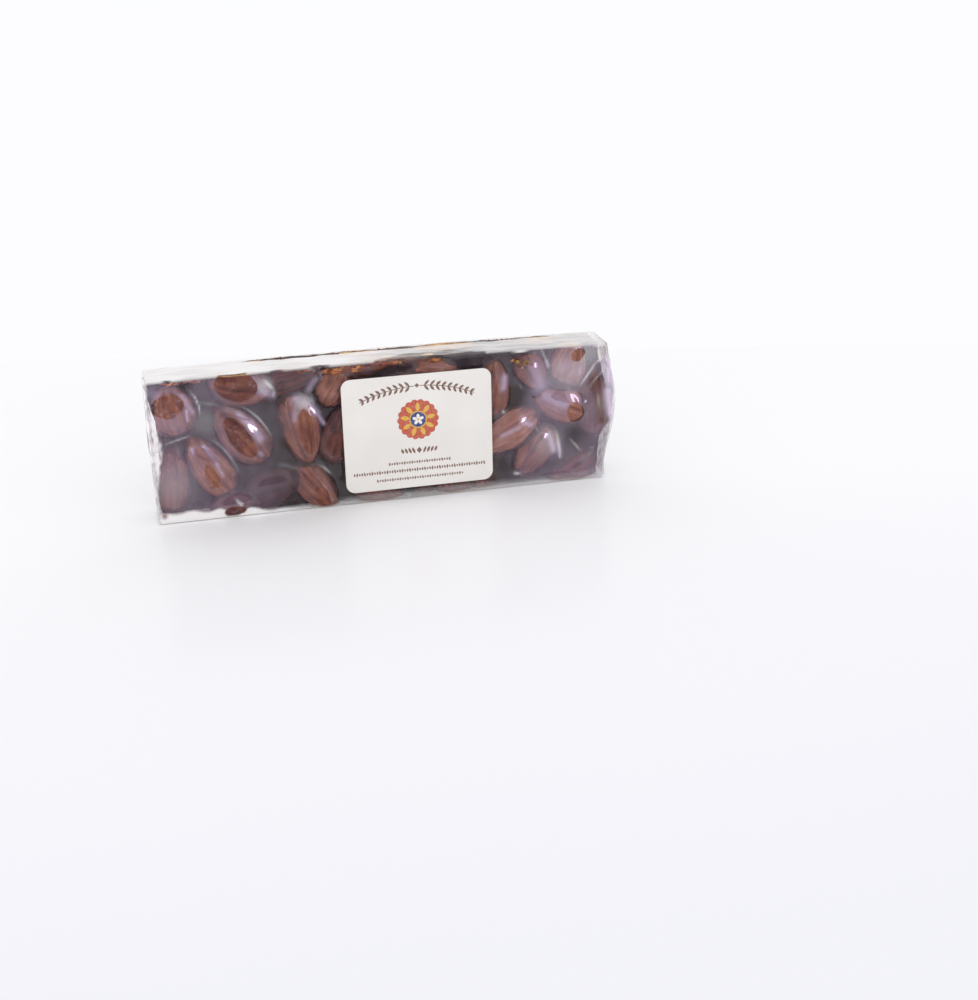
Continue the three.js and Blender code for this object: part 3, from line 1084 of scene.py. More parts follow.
def cut_by(item, point, outwards):
    """Cuts off what stands out of a plane and closes the cut with the second material."""
    activate(item)
    bpy.ops.object.mode_set(mode="EDIT")
    bpy.ops.mesh.select_all(action="SELECT")
    bpy.ops.mesh.bisect(
        plane_co=[v * MM for v in point], plane_no=outwards, use_fill=True, clear_outer=True, threshold=1e-6
    )
    mesh = bmesh.from_edit_mesh(item.data)
    direction = Vector(outwards)
    for face in mesh.faces:
        if face.normal.dot(direction) > 0.999 and len(face.verts) > 4:
            face.material_index = 1
            face.smooth = False
    bmesh.update_edit_mesh(item.data)
    bpy.ops.object.mode_set(mode="OBJECT")


def reach(almond, axis):
    """Half the size of an almond along x (0) or z (1), as a little more than its ellipse has."""
    turn = almond.turn if axis == 0 else almond.turn - math.pi / 2
    a, b = almond.length / 2 * (1 + TIP_PULL), almond.width / 2 * (1 + TAPER)
    return math.hypot(a * math.cos(turn), b * math.sin(turn))


def place_almonds(almonds, kinds, side, name, seed):
    """Copies of the almond kinds at their places against one large face, cut where the bar was cut."""
    draw = random.Random(seed)
    items = []
    for number, almond in enumerate(almonds):
        mesh = kinds[number % len(kinds)].data.copy()
        if draw.random() < 0.5:
            mesh.transform(Matrix.Rotation(math.pi, 4, "X"))
        outward = side * np.array([vert.co.y for vert in mesh.vertices])
        # painted shade, darker towards where the almond dips into the caramel
        sunk = 1 - smoothstep(RIM_FROM, RIM_TO, outward)
        paler = PALE_ALMONDS.get(number, 0) if side < 0 else 0
        store(mesh, "tone", draw.uniform(-0.12, 0.12) + paler - RIM_PAINTED_SHADE * sunk)
        mesh.transform(almond.place(side))
        item = bpy.data.objects.new(name, mesh)
        bpy.context.collection.objects.link(item)
        top = float(top_cut(np.array(almond.x))) + CAP_STAND
        foot = float(foot_cut(np.array(almond.x))) - CAP_STAND
        if almond.z + reach(almond, 1) > top - CUT_HALF_DEPTH * TOP_SLOPE:
            cut_by(item, (0, 0, top), Vector((0, -TOP_SLOPE, 1)).normalized())
        if almond.z - reach(almond, 1) < foot:
            cut_by(item, (0, 0, foot), (0, 0, -1))
        if almond.x - reach(almond, 0) < CUT_LEFT:
            cut_by(item, (CUT_LEFT, 0, 0), (-1, 0, 0))
        heights = np.clip(almond.z + np.linspace(-1, 1, 9) * reach(almond, 1), 0, HEIGHT)
        end = float(pack_x(2 * HALF_LENGTH, (1 + side) / 2, heights).min()) - END_GAP
        if almond.x + reach(almond, 0) > end and almond is not FRONT[END_ALMOND]:
            cut_by(item, (end, 0, 0), (1, 0, 0))
        items.append(item)
    return join(items, name)


class NOUGAT_OT_almonds(bpy.types.Operator):
    """Lay the whole almonds against both large faces and cut those that cross a narrow side"""

    bl_idname = "nougat.almonds"
    bl_label = "Almonds"

    def execute(self, context):
        colours, sizes = context.scene.nougat_colours, context.scene.nougat_sizes
        kinds = [almond_kind(number, sizes) for number in range(ALMOND_KINDS)]
        skin, flesh = almond_skin(colours), cut_flesh(colours)
        for kind in kinds:
            kind.data.materials.append(skin)
            kind.data.materials.append(flesh)
        front = place_almonds(ALL_ALMONDS[0], kinds, -1, "almonds_front", VARIETY_SEEDS[0])
        back = place_almonds(ALL_ALMONDS[1], kinds, 1, "almonds_back", VARIETY_SEEDS[1])
        for kind in kinds:
            bpy.data.objects.remove(kind)
        for item in (front, back):
            shade(item, 50)
            tell_frame(item, "almond_skin", "wrapped_bar")
        return {"FINISHED"}


# Caramel


def caramel_points(i, j, k):
    """Points of the caramel: a cut slab whose large faces sag between the almonds."""
    nx, ny, nz = CARAMEL_STEPS
    share_x, share_y, share_z = i / nx, j / ny, k / nz
    z_guess = CUT_FOOT + share_z * (HEIGHT - TOP_GAP - CUT_FOOT)
    left, right = left_cut(z_guess), right_cut(z_guess)
    x = left + share_x * (right - left)
    foot, top = foot_cut(x), top_cut(x)
    z = foot + share_z * (top - foot)
    front, back = caramel_level(x, z, 0), caramel_level(x, z, 1)
    y = -front + share_y * (front + back)
    z = z + share_z**6 * TOP_SLOPE * y
    rough = 0.12 * noise(x, y * 3, 2.5, 8)
    inside = (j > 0) & (j < ny)
    z = z + np.where(inside & (k == nz), rough, 0) - np.where(inside & (k == 0), rough, 0)
    x = x + np.where(inside & (i == nx), rough, 0) - np.where(inside & (i == 0), rough, 0)
    return np.stack([x, y, z], axis=1)


class NOUGAT_OT_caramel(bpy.types.Operator):
    """Set the dark caramel round the almonds, with a fillet up the side of each"""

    bl_idname = "nougat.caramel"
    bl_label = "Caramel"

    def execute(self, context):
        item, _ = box_skin("caramel", CARAMEL_STEPS, caramel_points)
        x, y, z = (np.array([v.co for v in item.data.vertices]) / MM).T
        near_top = smoothstep(49.5, 53.5, z) * smoothstep(-24, -14, x) * smoothstep(16, 8, x)
        bare = np.zeros(len(x))
        for almonds, side in zip(ALL_ALMONDS, (-1, 1)):
            skin = np.max([almond.level(x, z) for almond in almonds], axis=0)
            bare = np.maximum(bare, (side * y > 0) * smoothstep(1.6, -0.3, side * y - skin))
        store(item.data, "thin", 0.6 * near_top + 0.5 * bare - 0.1)
        item.data.materials.append(set_caramel(context.scene.nougat_colours))
        shade(item, 40)
        tell_frame(item, "caramel", "wrapped_bar")
        return {"FINISHED"}


# Film


def segment_distance(x, z, crease):
    """Distance to a crease, in its half widths, and how far along it."""
    x0, z0, x1, z1, half = crease[:5]
    dx, dz = x1 - x0, z1 - z0
    t = np.clip(((x - x0) * dx + (z - z0) * dz) / (dx * dx + dz * dz), 0, 1)
    return np.hypot(x - x0 - t * dx, z - z0 - t * dz) / half, t


@functools.cache
def drape(behind):
    """The film over the front (0) or the back (1): its levels, and how deep it lies in reach of an
    almond."""
    nx, _, nz = FILM_STEPS
    along = stations(nx, 2 * HALF_LENGTH)[:, None]
    share_z = (stations(nz, HEIGHT) / HEIGHT)[None, :]
    z = share_z * pack_top(along - HALF_LENGTH)
    x = pack_x(along, behind, z)
    skin = np.max([almond.level(x, z) for almond in (FRONT, BACK)[behind]], axis=0) + FILM_GAP
    filled = caramel_level(x, z, behind) + COAT_DROP + FILM_GAP
    least = np.maximum(np.maximum(skin, filled), FILM_LEAST_Y)
    most = np.full(x.shape, FILM_CREST_Y)
    if behind == 0:
        label = (
            (x > LABEL_LOW[0] - 1)
            & (x < LABEL_HIGH[0] + 1)
            & (z > LABEL_LOW[2] - 1)
            & (z < LABEL_HIGH[2] + 1)
        )
        least[label] = most[label] = FLAT_FILM_Y
    film = np.maximum(FILM_EDGE_Y, np.minimum(least, most))
    film[0], film[-1] = FILM_EDGE_Y, FILM_EDGE_Y
    step = 2 * HALF_LENGTH / nx
    sag = FILM_SAG * (step / FILM_SAG_STEP) ** 2
    low, high = np.minimum(least, most)[2:-2, 2:-2], most[2:-2, 2:-2]
    for _ in range(RELAX_ROUNDS):
        mean = (film[1:-3, 2:-2] + film[3:-1, 2:-2] + film[2:-2, 1:-3] + film[2:-2, 3:-1]) / 4
        film[2:-2, 2:-2] = np.clip(mean - sag, low, high)
    return film, skin - FILM_CREST_Y + CONTACT_DEPTH


def crease_and_painted_arcs(x, z):
    """How much crease and painted highlight arc the film has at each place of the labelled face, from 0 to
    1; both also lift it a little.
    """
    total = 0 * x
    for crease in CREASES:
        distance, t = segment_distance(x, z, crease)
        total = np.maximum(total, crease[5] * np.exp(-(distance**2)) * np.sin(math.pi * (0.1 + 0.8 * t)))
    for number, size, towards, spread, strength in ARCS:
        almond = FRONT[number]
        dx, dz = x - almond.x, z - almond.z
        ring = np.hypot(*almond.shares(dx, dz))
        distance = (ring - size) * almond.width / 2 / ARC_WIDTH
        turn = np.degrees(np.arctan2(dz, dx)) - towards
        turn = (turn + 180) % 360 - 180
        total = np.maximum(total, strength * np.exp(-(distance**2)) * bump(turn / spread / 1.3))
    return total


def gleam(x, z):
    """How much more the film mirrors where it bends over an almond, or less where it lies calm."""
    more, less = 0 * x, 0 * x
    for line in GLEAMS:
        distance, _ = segment_distance(x, z, line)
        soft = line[5] * np.exp(-(distance**2))
        more, less = np.maximum(more, soft), np.minimum(less, soft)
    return more + less


def patch_depth(x, z):
    """How far inside a wetted patch a place of the labelled face lies, in millimetres."""
    total = np.full(x.shape, -1.0)
    for middle_x, middle_z, half_long, half_wide, turn in PATCHES:
        cos, sin = cos_sin(turn)
        dx, dz = x - middle_x, z - middle_z
        ring = np.hypot((dx * cos + dz * sin) / half_long, (dz * cos - dx * sin) / half_wide)
        total = np.maximum(total, (1 - ring) * half_wide + PATCH_RIM)
    return total


def spots(x, z, places):
    """The sum of soft round spots."""
    total = 0 * x
    for spot_x, spot_z, radius, amount in places:
        total = total + amount * bump(np.hypot(x - spot_x, z - spot_z) / radius)
    return total


class NOUGAT_OT_film(bpy.types.Operator):
    """Stretch the clear film over the almonds and fold it at the ends"""

    bl_idname = "nougat.film"
    bl_label = "Film"

    def execute(self, context):
        nx, ny, nz = FILM_STEPS
        front, front_touch = drape(0)
        back, back_touch = drape(1)
        along, up = stations(nx, 2 * HALF_LENGTH), stations(nz, HEIGHT) / HEIGHT
        across = stations(ny, 2 * FILM_EDGE_Y) / (2 * FILM_EDGE_Y)

        def points(i, j, k):
            z = up[k] * pack_top(along[i] - HALF_LENGTH)
            x = pack_x(along[i], across[j], z)
            y = -front[i, k] + across[j] * (front[i, k] + back[i, k])
            out_x = (i == nx).astype(float) - (i == 0)
            out_y = (j == ny).astype(float) - (j == 0)
            out_z = (k == nz).astype(float) - (k == 0)
            sides = np.abs(out_x) + np.abs(out_y) + np.abs(out_z)
            inset = np.where(sides > 1, EDGE_RADIUS * (1 - 1 / np.sqrt(sides)), 0)
            flat = sides == 1
            ridge = RIDGE_HEIGHT * crease_and_painted_arcs(x, z) * (out_y < 0)
            ripple = TOP_RIPPLE[0] * noise(x, y * 2, TOP_RIPPLE[1], 31) - 0.15
            left = LEFT_CRUMPLE[0] * noise(y * 1.2, z, LEFT_CRUMPLE[1], 32) - LEFT_CRUMPLE[0]
            right = RIGHT_CRUMPLE[0] * noise(y, z, RIGHT_CRUMPLE[1], 33) - RIGHT_CRUMPLE[0]
            crumple = np.where(out_x < 0, left, right)
            x = x - out_x * inset + np.where(flat, out_x * crumple, 0)
            y = y - out_y * inset - np.where(flat, ridge * (i > 1) * (i < nx - 1), 0)
            z = z - out_z * inset + np.where(flat & (out_z > 0), ripple, 0)
            return np.stack([x, y, z], axis=1)

        item, keys = box_skin("film", FILM_STEPS, points)
        i, j, k = keys.T
        x, y, z = (np.array([v.co for v in item.data.vertices]) / MM).T
        in_front, behind, on_top = j == 0, j == ny, (k == nz) & (j > 0) & (j < ny)
        ragged = 0.16 * noise(x, z, 3.2, 23)
        start, full, fade, end = BACK_STRIP_SPAN
        open_to = smoothstep(start, full, x) * smoothstep(end, fade, x)
        half = BACK_STRIP[1] * open_to + 0.3 * noise(x, y, 6, 22) - 0.4 * (1 - open_to)
        touch = np.where(in_front, patch_depth(x, z) + 1.4 * ragged, -1.0)
        touch = np.where(behind, back_touch[i, k] + ragged, touch)
        touch = np.clip(np.where(on_top, half - np.abs(y - BACK_STRIP[0]), touch), -1, 1)
        store(item.data, "touch", touch)
        veil = np.interp(x, *zip(*VEIL_ALONG)) * (1 + 0.3 * noise(x, z, 13, 51))
        veil = veil + 0.12 * noise(x, z, 4, 52)
        over_almond = np.where(in_front, front_touch[i, k], back_touch[i, k])
        veil = veil + 0.25 * smoothstep(-2.6, -0.6, over_almond) * (in_front | behind)
        shines = gleam(x, z) - spots(x, z, CALM_SPOTS)
        # painted shadow: in a thin strip beside the label the film mirrors less, a dark line as the label's
        # shadow
        off_x = np.maximum(LABEL_LOW[0] - x, x - LABEL_HIGH[0])
        off_z = np.maximum(LABEL_LOW[2] - z, z - LABEL_HIGH[2])
        shines = shines - 1.5 * smoothstep(1.4, 0.4, np.maximum(off_x, off_z))  # dull beside the label
        veil = np.where(in_front, veil + shines, veil)
        store(item.data, "veil", np.clip(veil, 0.1, MOST_VEIL))
        haze = film_milk_and_painted_sheen(x, y, z, i, j, k)
        store(item.data, "haze", haze * smoothstep(0.1, -0.1, touch))
        item.data.materials.append(clear_film(context.scene.nougat_colours))
        shade(item, 60)
        tell_frame(item, "film", "wrapped_bar")
        return {"FINISHED"}


def film_milk_and_painted_sheen(x, y, z, i, j, k):
    """How white the film is at each point: milky along folds, at its foot and over the ends; a painted
    highlight in creases, arcs and spots, and a painted reflection along the top, on the upper side and at
    the left of its foot.
    """
    nx, ny, nz = FILM_STEPS
    front, on_top, ends = j == 0, k == nz, (i == 0) | (i == nx)
    haze = HAZE_FLAT + 0.01 * noise(x, z, 14, 41)
    # painted highlights: white along the creases, the arcs and the spots
    haze = haze + np.where(front, CREASE_PAINTED_HIGHLIGHT * crease_and_painted_arcs(x, z) + spots(x, z, PAINTED_HIGHLIGHT_SPOTS), 0)
    # below the contents the film is slack and dim towards the middle; the white at the left is a painted
    # reflection
    low = smoothstep(-0.7, 0.5, foot_cut(x) + 0.3 - z + 0.5 * noise(x, 0 * x, 5, 47))
    foot = low * (HAZE_FOOT + FOOT_PAINTED_REFLECTION_LEFT * smoothstep(-28, -46, x))
    haze = np.where(front, np.maximum(haze, foot), haze)
    slack = (HAZE_SLACK - 0.06 * smoothstep(36, 46, x)) * smoothstep(-24, -16, x) * smoothstep(4.2, 2.6, z)
    haze = np.where(front, np.maximum(haze, slack), haze)
    # it is white too beyond the left end; above the cut upper side and on top its white is a painted
    # reflection
    beyond = smoothstep(0.2, 1.6, left_cut(z) - x)
    silver = HAZE_BEYOND + HAZE_BEYOND * noise(x * 1.5, z, 2.2, 42)
    haze = np.where(front, np.maximum(haze, beyond * silver), haze)
    painted_band_from = np.interp(x, *zip(*PAINTED_BAND_START)) + 0.25 * noise(x, 0 * x, 3.5, 46)
    haze = np.where(front, np.maximum(haze, BAND_PAINTED_REFLECTION * smoothstep(-0.1, 0.6, z - painted_band_from)), haze)
    # painted reflection: the upper side is white from where the band begins, paler towards the right
    painted_top_white = TOP_PAINTED_REFLECTION - 0.36 * smoothstep(-20, 15, x) + 0.10 * noise(x * 0.35, y * 2, 4, 43)
    starts = np.clip((painted_band_from - HEIGHT) / LOOK_DOWN, 0, None) - FILM_EDGE_Y
    haze = np.where(on_top, painted_top_white * smoothstep(-0.5, 0.8, y - starts), haze)
    haze = np.where(ends, np.where(x < 0, *HAZE_ENDS) + 0.2 * noise(y, z, 2.5, 44), haze)
    folds = (i == 0).astype(int) + (i == nx) + (j == 0) + (j == ny) + (k == 0) + (k == nz)
    edge = np.where(k == 0, 0.1 + HAZE_FOLD * smoothstep(-30, -50, x), HAZE_FOLD)
    # the front top fold is white where the painted reflection band reaches it
    crown = 0.1 + HAZE_FOLD * smoothstep(HEIGHT + 0.4, HEIGHT, painted_band_from)
    edge = np.where(front & (k == nz), crown, edge)
    haze = np.where(folds > 1, np.maximum(haze, edge), haze)
    haze = np.where(y < -7.5, haze * (1 - spots(x, z, CLEAR_SPOTS)), haze)
    return np.clip(haze, 0.0, MOST_HAZE)


def crumb(place, size, form, draw):
    """One irregular bit, from a ball that is stretched, turned and roughened."""
    deselect()
    bpy.ops.mesh.primitive_ico_sphere_add(
        subdivisions=2,
        radius=size * MM,
        location=[v * MM for v in place],
        rotation=[draw.uniform(-0.5, 0.5) for _ in range(3)],
        scale=form,
    )
    item = bpy.context.object
    settle(item)
    bpy.ops.object.mode_set(mode="EDIT")
    bpy.ops.transform.vertex_random(offset=0.18 * size * MM, seed=draw.randrange(1000))
    bpy.ops.mesh.subdivide(smoothness=0.6)
    bpy.ops.object.mode_set(mode="OBJECT")
    return item


class NOUGAT_OT_crumbs(bpy.types.Operator):
    """Scatter candied peel and amber crumbs of caramel under the film"""

    bl_idname = "nougat.crumbs"
    bl_label = "Crumbs"

    def execute(self, context):
        colours = context.scene.nougat_colours
        draw = random.Random(CRUMB_SEED)
        bits = [crumb((x, y, z), size, (1, 0.45, 0.7), draw) for x, z, y, size in PEEL_BITS]
        peel = join(bits, "peel")
        peel.data.materials.append(candied_peel(colours))
        bits = []
        for start_x, start_z, end_x, end_z, y, spread, count in CRUMB_ROWS:
            for _ in range(count):
                t = draw.random()
                z = start_z + t * (end_z - start_z) + draw.uniform(-spread, spread)
                place = (start_x + t * (end_x - start_x), y + draw.uniform(-0.3, 0.3), z)
                form = (draw.uniform(1.2, 2.8), 0.5, draw.uniform(0.4, 0.6))
                bits.append(crumb(place, draw.uniform(0.4, 0.7), form, draw))
        crumbs = join(bits, "amber_crumbs")
        crumbs.data.materials.append(amber_caramel(colours))
        for item in (peel, crumbs):
            shade(item, 40)
            tell_frame(item, "caramel", "wrapped_bar")
        return {"FINISHED"}


def film_sheet(name, grid, haze):
    """A loose sheet of the film through a grid of points, as thin as the film."""
    rows, columns = grid.shape[:2]
    item = new_mesh(name, grid.reshape(-1, 3), grid_faces(rows, columns))
    store(item.data, "touch", np.full(rows * columns, -1.0))
    store(item.data, "veil", np.full(rows * columns, SHEET_VEIL))
    store(item.data, "haze", np.clip(haze.reshape(-1), 0, MOST_HAZE))
    activate(item)
    wall = item.modifiers.new("film", "SOLIDIFY")
    wall.thickness = SHEET_THICKNESS * MM
    bpy.ops.object.modifier_apply(modifier=wall.name)
    item.data.materials.append(bpy.data.materials["clear_polypropylene_film"])
    shade(item, 50)
    tell_frame(item, "film", "wrapped_bar")


class NOUGAT_OT_folds(bpy.types.Operator):
    """Fold the film's ends like a parcel and lap its two edges along the back"""

    bl_idname = "nougat.folds"
    bl_label = "Folds"

    def execute(self, context):
        for side, name in ((-1, "left"), (1, "right")):
            for up in (0, 1):
                self.add_flap(side, up, "film_flap_%s_%s" % (name, ("lower", "upper")[up]))
        self.add_seam()
        return {"FINISHED"}

    def add_flap(self, side, up, name):
        """One flap: as wide as the bar at its fold, narrower where it ends near the middle."""
        rows, columns = FLAP_STEPS
        t, s = np.meshgrid(np.linspace(0, 1, rows), np.linspace(-1, 1, columns), indexing="ij")
        y = s * (FILM_EDGE_Y - 0.5 - FLAP_NARROWING * t)
        z = FLAP_START[up] + FLAP_REACH[up] * t
        if up:
            z = HEIGHT - z
        lift = FLAP_LIFT[up] + 0.25 * noise(y * 1.3, z, 4, 71 + up) * t + 0.5 * t**3
        end = pack_x(np.full(z.shape, (1 + side) * HALF_LENGTH), 0.5 + y / (2 * FILM_EDGE_Y), z)
        x = end + side * (lift - 0.25)
        edge = np.maximum(smoothstep(0.93, 1.0, np.abs(s)), smoothstep(0.96, 1.0, t))
        haze = 0.12 + 0.5 * edge + 0.25 * np.abs(noise(y, z * 1.4, 3, 81 + up))
        grid = np.stack([x, y, z], axis=-1)
        if (side > 0) == bool(up):
            grid, haze = grid[:, ::-1], haze[:, ::-1]
        film_sheet(name, grid, haze)

    def add_seam(self):
        """The lap seam along the middle of the back."""
        nx, nz = SEAM_STEPS
        along = np.linspace(SEAM_INSET, 2 * HALF_LENGTH - SEAM_INSET, nx)[:, None]
        z = np.linspace(SEAM_FOOT, SEAM_FOOT + SEAM_WIDTH, nz)[None, :]
        z = z + 0.2 * noise(along, 0 * along, 20, 91)
        x = pack_x(along, 1, z)
        levels, _ = drape(1)
        places = stations(FILM_STEPS[0], 2 * HALF_LENGTH)
        at_i = np.interp(along[:, 0], places, np.arange(FILM_STEPS[0] + 1))
        at_k = z / HEIGHT * FILM_STEPS[2]
        i0, k0 = np.floor(at_i).astype(int)[:, None], np.floor(at_k).astype(int)
        fi, fz = at_i[:, None] - i0, at_k - k0
        low = levels[i0, k0] * (1 - fi) + levels[i0 + 1, k0] * fi
        high = levels[i0, k0 + 1] * (1 - fi) + levels[i0 + 1, k0 + 1] * fi
        y = low * (1 - fz) + high * fz + SEAM_LIFT
        edge = np.abs(np.linspace(-1, 1, nz))[None, :] + 0 * along
        haze = 0.10 + 0.45 * smoothstep(0.8, 1.0, edge)
        film_sheet("film_seam", np.stack([x, y, z], axis=-1)[:, ::-1], haze)


# Label


def rounded_plate(name, low, high, y_back, y_front, corner):
    """A plate with rounded corners between two levels, from a plane whose corners are bevelled."""
    deselect()
    middle = [(a + b) / 2 * MM for a, b in zip(low, high)]
    bpy.ops.mesh.primitive_plane_add(
        size=1, location=(middle[0], y_back * MM, middle[1]), rotation=(math.pi / 2, 0, 0)
    )
    item = bpy.context.object
    item.name = name
    item.scale = ((high[0] - low[0]) * MM, (high[1] - low[1]) * MM, 1)
    settle(item)
    bpy.ops.object.mode_set(mode="EDIT")
    bpy.ops.mesh.select_all(action="SELECT")
    bpy.ops.mesh.bevel(offset=corner, offset_type="OFFSET", segments=10, affect="VERTICES")
    bpy.ops.mesh.extrude_region_move(TRANSFORM_OT_translate={"value": (0, (y_front - y_back) * MM, 0)})
    bpy.ops.mesh.select_all(action="SELECT")
    bpy.ops.mesh.normals_make_consistent(inside=False)
    bpy.ops.object.mode_set(mode="OBJECT")
    return item


class NOUGAT_OT_label(bpy.types.Operator):
    """Stick the paper label on the film"""

    bl_idname = "nougat.label"
    bl_label = "Label"

    def execute(self, context):
        sizes = context.scene.nougat_sizes
        item = rounded_plate(
            "label_paper",
            (LABEL_LOW[0], LABEL_LOW[2]),
            (LABEL_HIGH[0], LABEL_HIGH[2]),
            -LABEL_BACK_Y,
            -LABEL_BACK_Y - sizes.label_thickness / MM,
            sizes.label_corner,
        )
        bevel = item.modifiers.new("edge", "BEVEL")
        bevel.width = 0.00004
        bevel.segments = 2
        bpy.ops.object.modifier_apply(modifier=bevel.name)
        item.data.materials.append(label_paper(context.scene.nougat_colours))
        shade(item, 30)
        tell_frame(item, "label_paper", "label")
        return {"FINISHED"}


# Print

INK_STEP = 0.015  # each layer of ink stands this much farther out
ROSETTE_V = 4.6
ROSETTE_RADIUS = 7.2
PETALS, PETAL_RING = 9, 4.9
BLOSSOM_PETALS, BLOSSOM_RING = 5, 1.25
GARLAND_V = 17.6
GARLAND_RADIUS = 52.0
TWIG_TURNS = (1.6, 24.0)  # where each branch starts and ends on its arch, in degrees
TWIG_BITS = 30
LEAF_TURNS = (3.0, 2.45)  # first pair of leaves, and the step to the next
LEAF_PAIRS = 9
DIVIDER_V = -7.4
BEAD_STEP = 0.95
BEAD_ROWS = ((-12.0, 12.0, 0.62), (-15.0, 25.0, 0.72), (-18.2, 16.5, 0.6))  # v, half length, size


class Stamp:
    """Places flat printed shapes on the label; u and v are millimetres from the label's middle."""

    def __init__(self, context):
        sizes = context.scene.nougat_sizes
        self.u = (LABEL_LOW[0] + LABEL_HIGH[0]) / 2
        self.v = (LABEL_LOW[2] + LABEL_HIGH[2]) / 2
        self.front = -LABEL_BACK_Y - sizes.label_thickness / MM
        self.items = {}

    def add(self, ink, u, v, size_u, size_v, turn=0.0, sides=16, layer=1, point=0.0, lobes=0):
        """An ellipse or polygon; point draws its ends in, as a leaf's, and lobes scallops its edge."""
        deselect()
        bpy.ops.mesh.primitive_circle_add(vertices=sides, radius=1, fill_type="NGON")
        item = bpy.context.object
        for vert in item.data.vertices:
            swell = 1 + 0.09 * abs(math.cos(lobes / 2 * math.atan2(vert.co.y, vert.co.x))) if lobes else 1
            vert.co.x *= swell
            vert.co.y *= swell * (1 - point * abs(vert.co.x) ** 1.5)
        item.data.transform(Matrix.Diagonal((size_u, size_v, 1, 1)))
        item.data.transform(Matrix.Rotation(math.radians(turn), 4, "Z"))
        item.data.transform(Matrix.Rotation(math.pi / 2, 4, "X"))
        y = self.front - INK_STEP * layer
        item.data.transform(Matrix.Translation((self.u + u, y, self.v + v)))
        item.data.transform(Matrix.Scale(MM, 4))
        self.items.setdefault(ink, []).append(item)

    def finish(self, inks):
        for ink, items in self.items.items():
            item = join(items, "print_" + ink)
            item.data.materials.append(inks[ink])
            tell_frame(item, "label_print", "label")


def print_rosette(stamp, v):
    """A scalloped rosette with gold almond petals round a blue disc and a white blossom."""
    stamp.add("red", 0.0, v, ROSETTE_RADIUS, ROSETTE_RADIUS, sides=180, layer=1, lobes=18)
    for n in range(PETALS):
        turn = 90 + 360 * n / PETALS
        cos, sin = cos_sin(turn)
        stamp.add("gold", PETAL_RING * cos, v + PETAL_RING * sin, 1.75, 0.85, turn, layer=2, point=0.35)
    stamp.add("gold", 0.0, v, 3.35, 3.35, sides=40, layer=2)
    stamp.add("blue", 0.0, v, 2.9, 2.9, sides=40, layer=3)
    for n in range(BLOSSOM_PETALS):
        turn = 90 + 360 * n / BLOSSOM_PETALS
        cos, sin = cos_sin(turn)
        stamp.add("white", BLOSSOM_RING * cos, v + BLOSSOM_RING * sin, 0.95, 0.6, turn, layer=4)
    stamp.add("gold", 0.0, v, 0.45, 0.45, layer=5)


def on_arch(turn):
    """Place on the garland's arch, so many degrees from its top."""
    cos, sin = cos_sin(turn)
    return GARLAND_RADIUS * sin, GARLAND_V - GARLAND_RADIUS * (1 - cos)


def print_garland(stamp):
    """Two leafy branches along a shallow arch, meeting at a small diamond."""
    start, end = TWIG_TURNS
    first, step = LEAF_TURNS
    for side in (-1, 1):
        for n in range(TWIG_BITS):
            turn = side * (start + n * (end - start) / (TWIG_BITS - 1))
            stamp.add("brown", *on_arch(turn), 0.5, 0.16, -turn, sides=8)
        for n in range(LEAF_PAIRS):
            turn = side * (first + n * step)
            u, v = on_arch(turn)
            length = 1.35 - 0.05 * n
            for lift in (-1, 1):
                angle = -turn + lift * side * 48 + (0 if side > 0 else 180)
                cos, sin = cos_sin(angle)
                stamp.add("brown", u + length * cos, v + length * sin, length, 0.5, angle, point=0.55)
    stamp.add("brown", 0, GARLAND_V + 0.1, 0.9, 0.9, 0, sides=4)


def print_rules(stamp):
    """Ornament in place of the small print: a row of leaves round a diamond, and rows of fine beads."""
    stamp.add("brown", 0, DIVIDER_V, 1.0, 1.25, 0, sides=4)
    for side in (-1, 1):
        for n in range(4):
            u, length = side * (2.1 + 1.4 * n), 1.35 - 0.1 * n
            stamp.add("brown", u, DIVIDER_V, length, 0.48, 90 - side * 24, point=0.4)
    for row, (v, half, tall) in enumerate(BEAD_ROWS):
        count = int(half // BEAD_STEP)
        for n in range(-count, count + 1):
            size = tall * (1.15, 0.7, 0.9)[(n + row) % 3]
            lean = 90 + 12 * ((n + row) % 2)
            stamp.add("brown", n * BEAD_STEP, v, size, 0.34, lean, sides=8, point=0.2)


class NOUGAT_OT_print(bpy.types.Operator):
    """Print the label: a garland, a rosette and rows of leaves and beads"""

    bl_idname = "nougat.print"
    bl_label = "Print"

    def execute(self, context):
        colours = context.scene.nougat_colours
        stamp = Stamp(context)
        print_rosette(stamp, ROSETTE_V)
        print_garland(stamp)
        print_rules(stamp)
        stamp.finish(
            {
                "red": printing_ink("red_ink", colours.ink_red),
                "gold": printing_ink("gold_ink", colours.ink_gold),
                "blue": printing_ink("blue_ink", colours.ink_blue),
                "white": printing_ink("white_ink", colours.paper),
                "brown": printing_ink("brown_ink", colours.ink_brown),
            }
        )
        return {"FINISHED"}


# Stage

CAMERA_PLACE = (-81.52, -504.89, 204.69)
CAMERA_YAW = 13.3717
CAMERA_PITCH = 22.2756
CAMERA_ROLL = 1.1604
CAMERA_LENS = 51.82
CAMERA_SENSOR = 36  # the picture's longer side
FLOOR_BEHIND = 185.0
FLOOR_SIZE = 2600.0
# Lamps: place, what they point at, and width and height in metres
WINDOW_LAMP = ((430, -430, 300), (0, 0, 30), (0.60, 0.75))
STRIP_LAMP = ((330, -560, 140), (20, 0, 28), (0.05, 0.34))
STRIP_STRENGTH = 0.25
ROOM = "#fdfdff"
ROOM_IN_FRONT, PAPER_BEHIND = "#c4bfca", "#ffffff"  # as the wrapper mirrors them


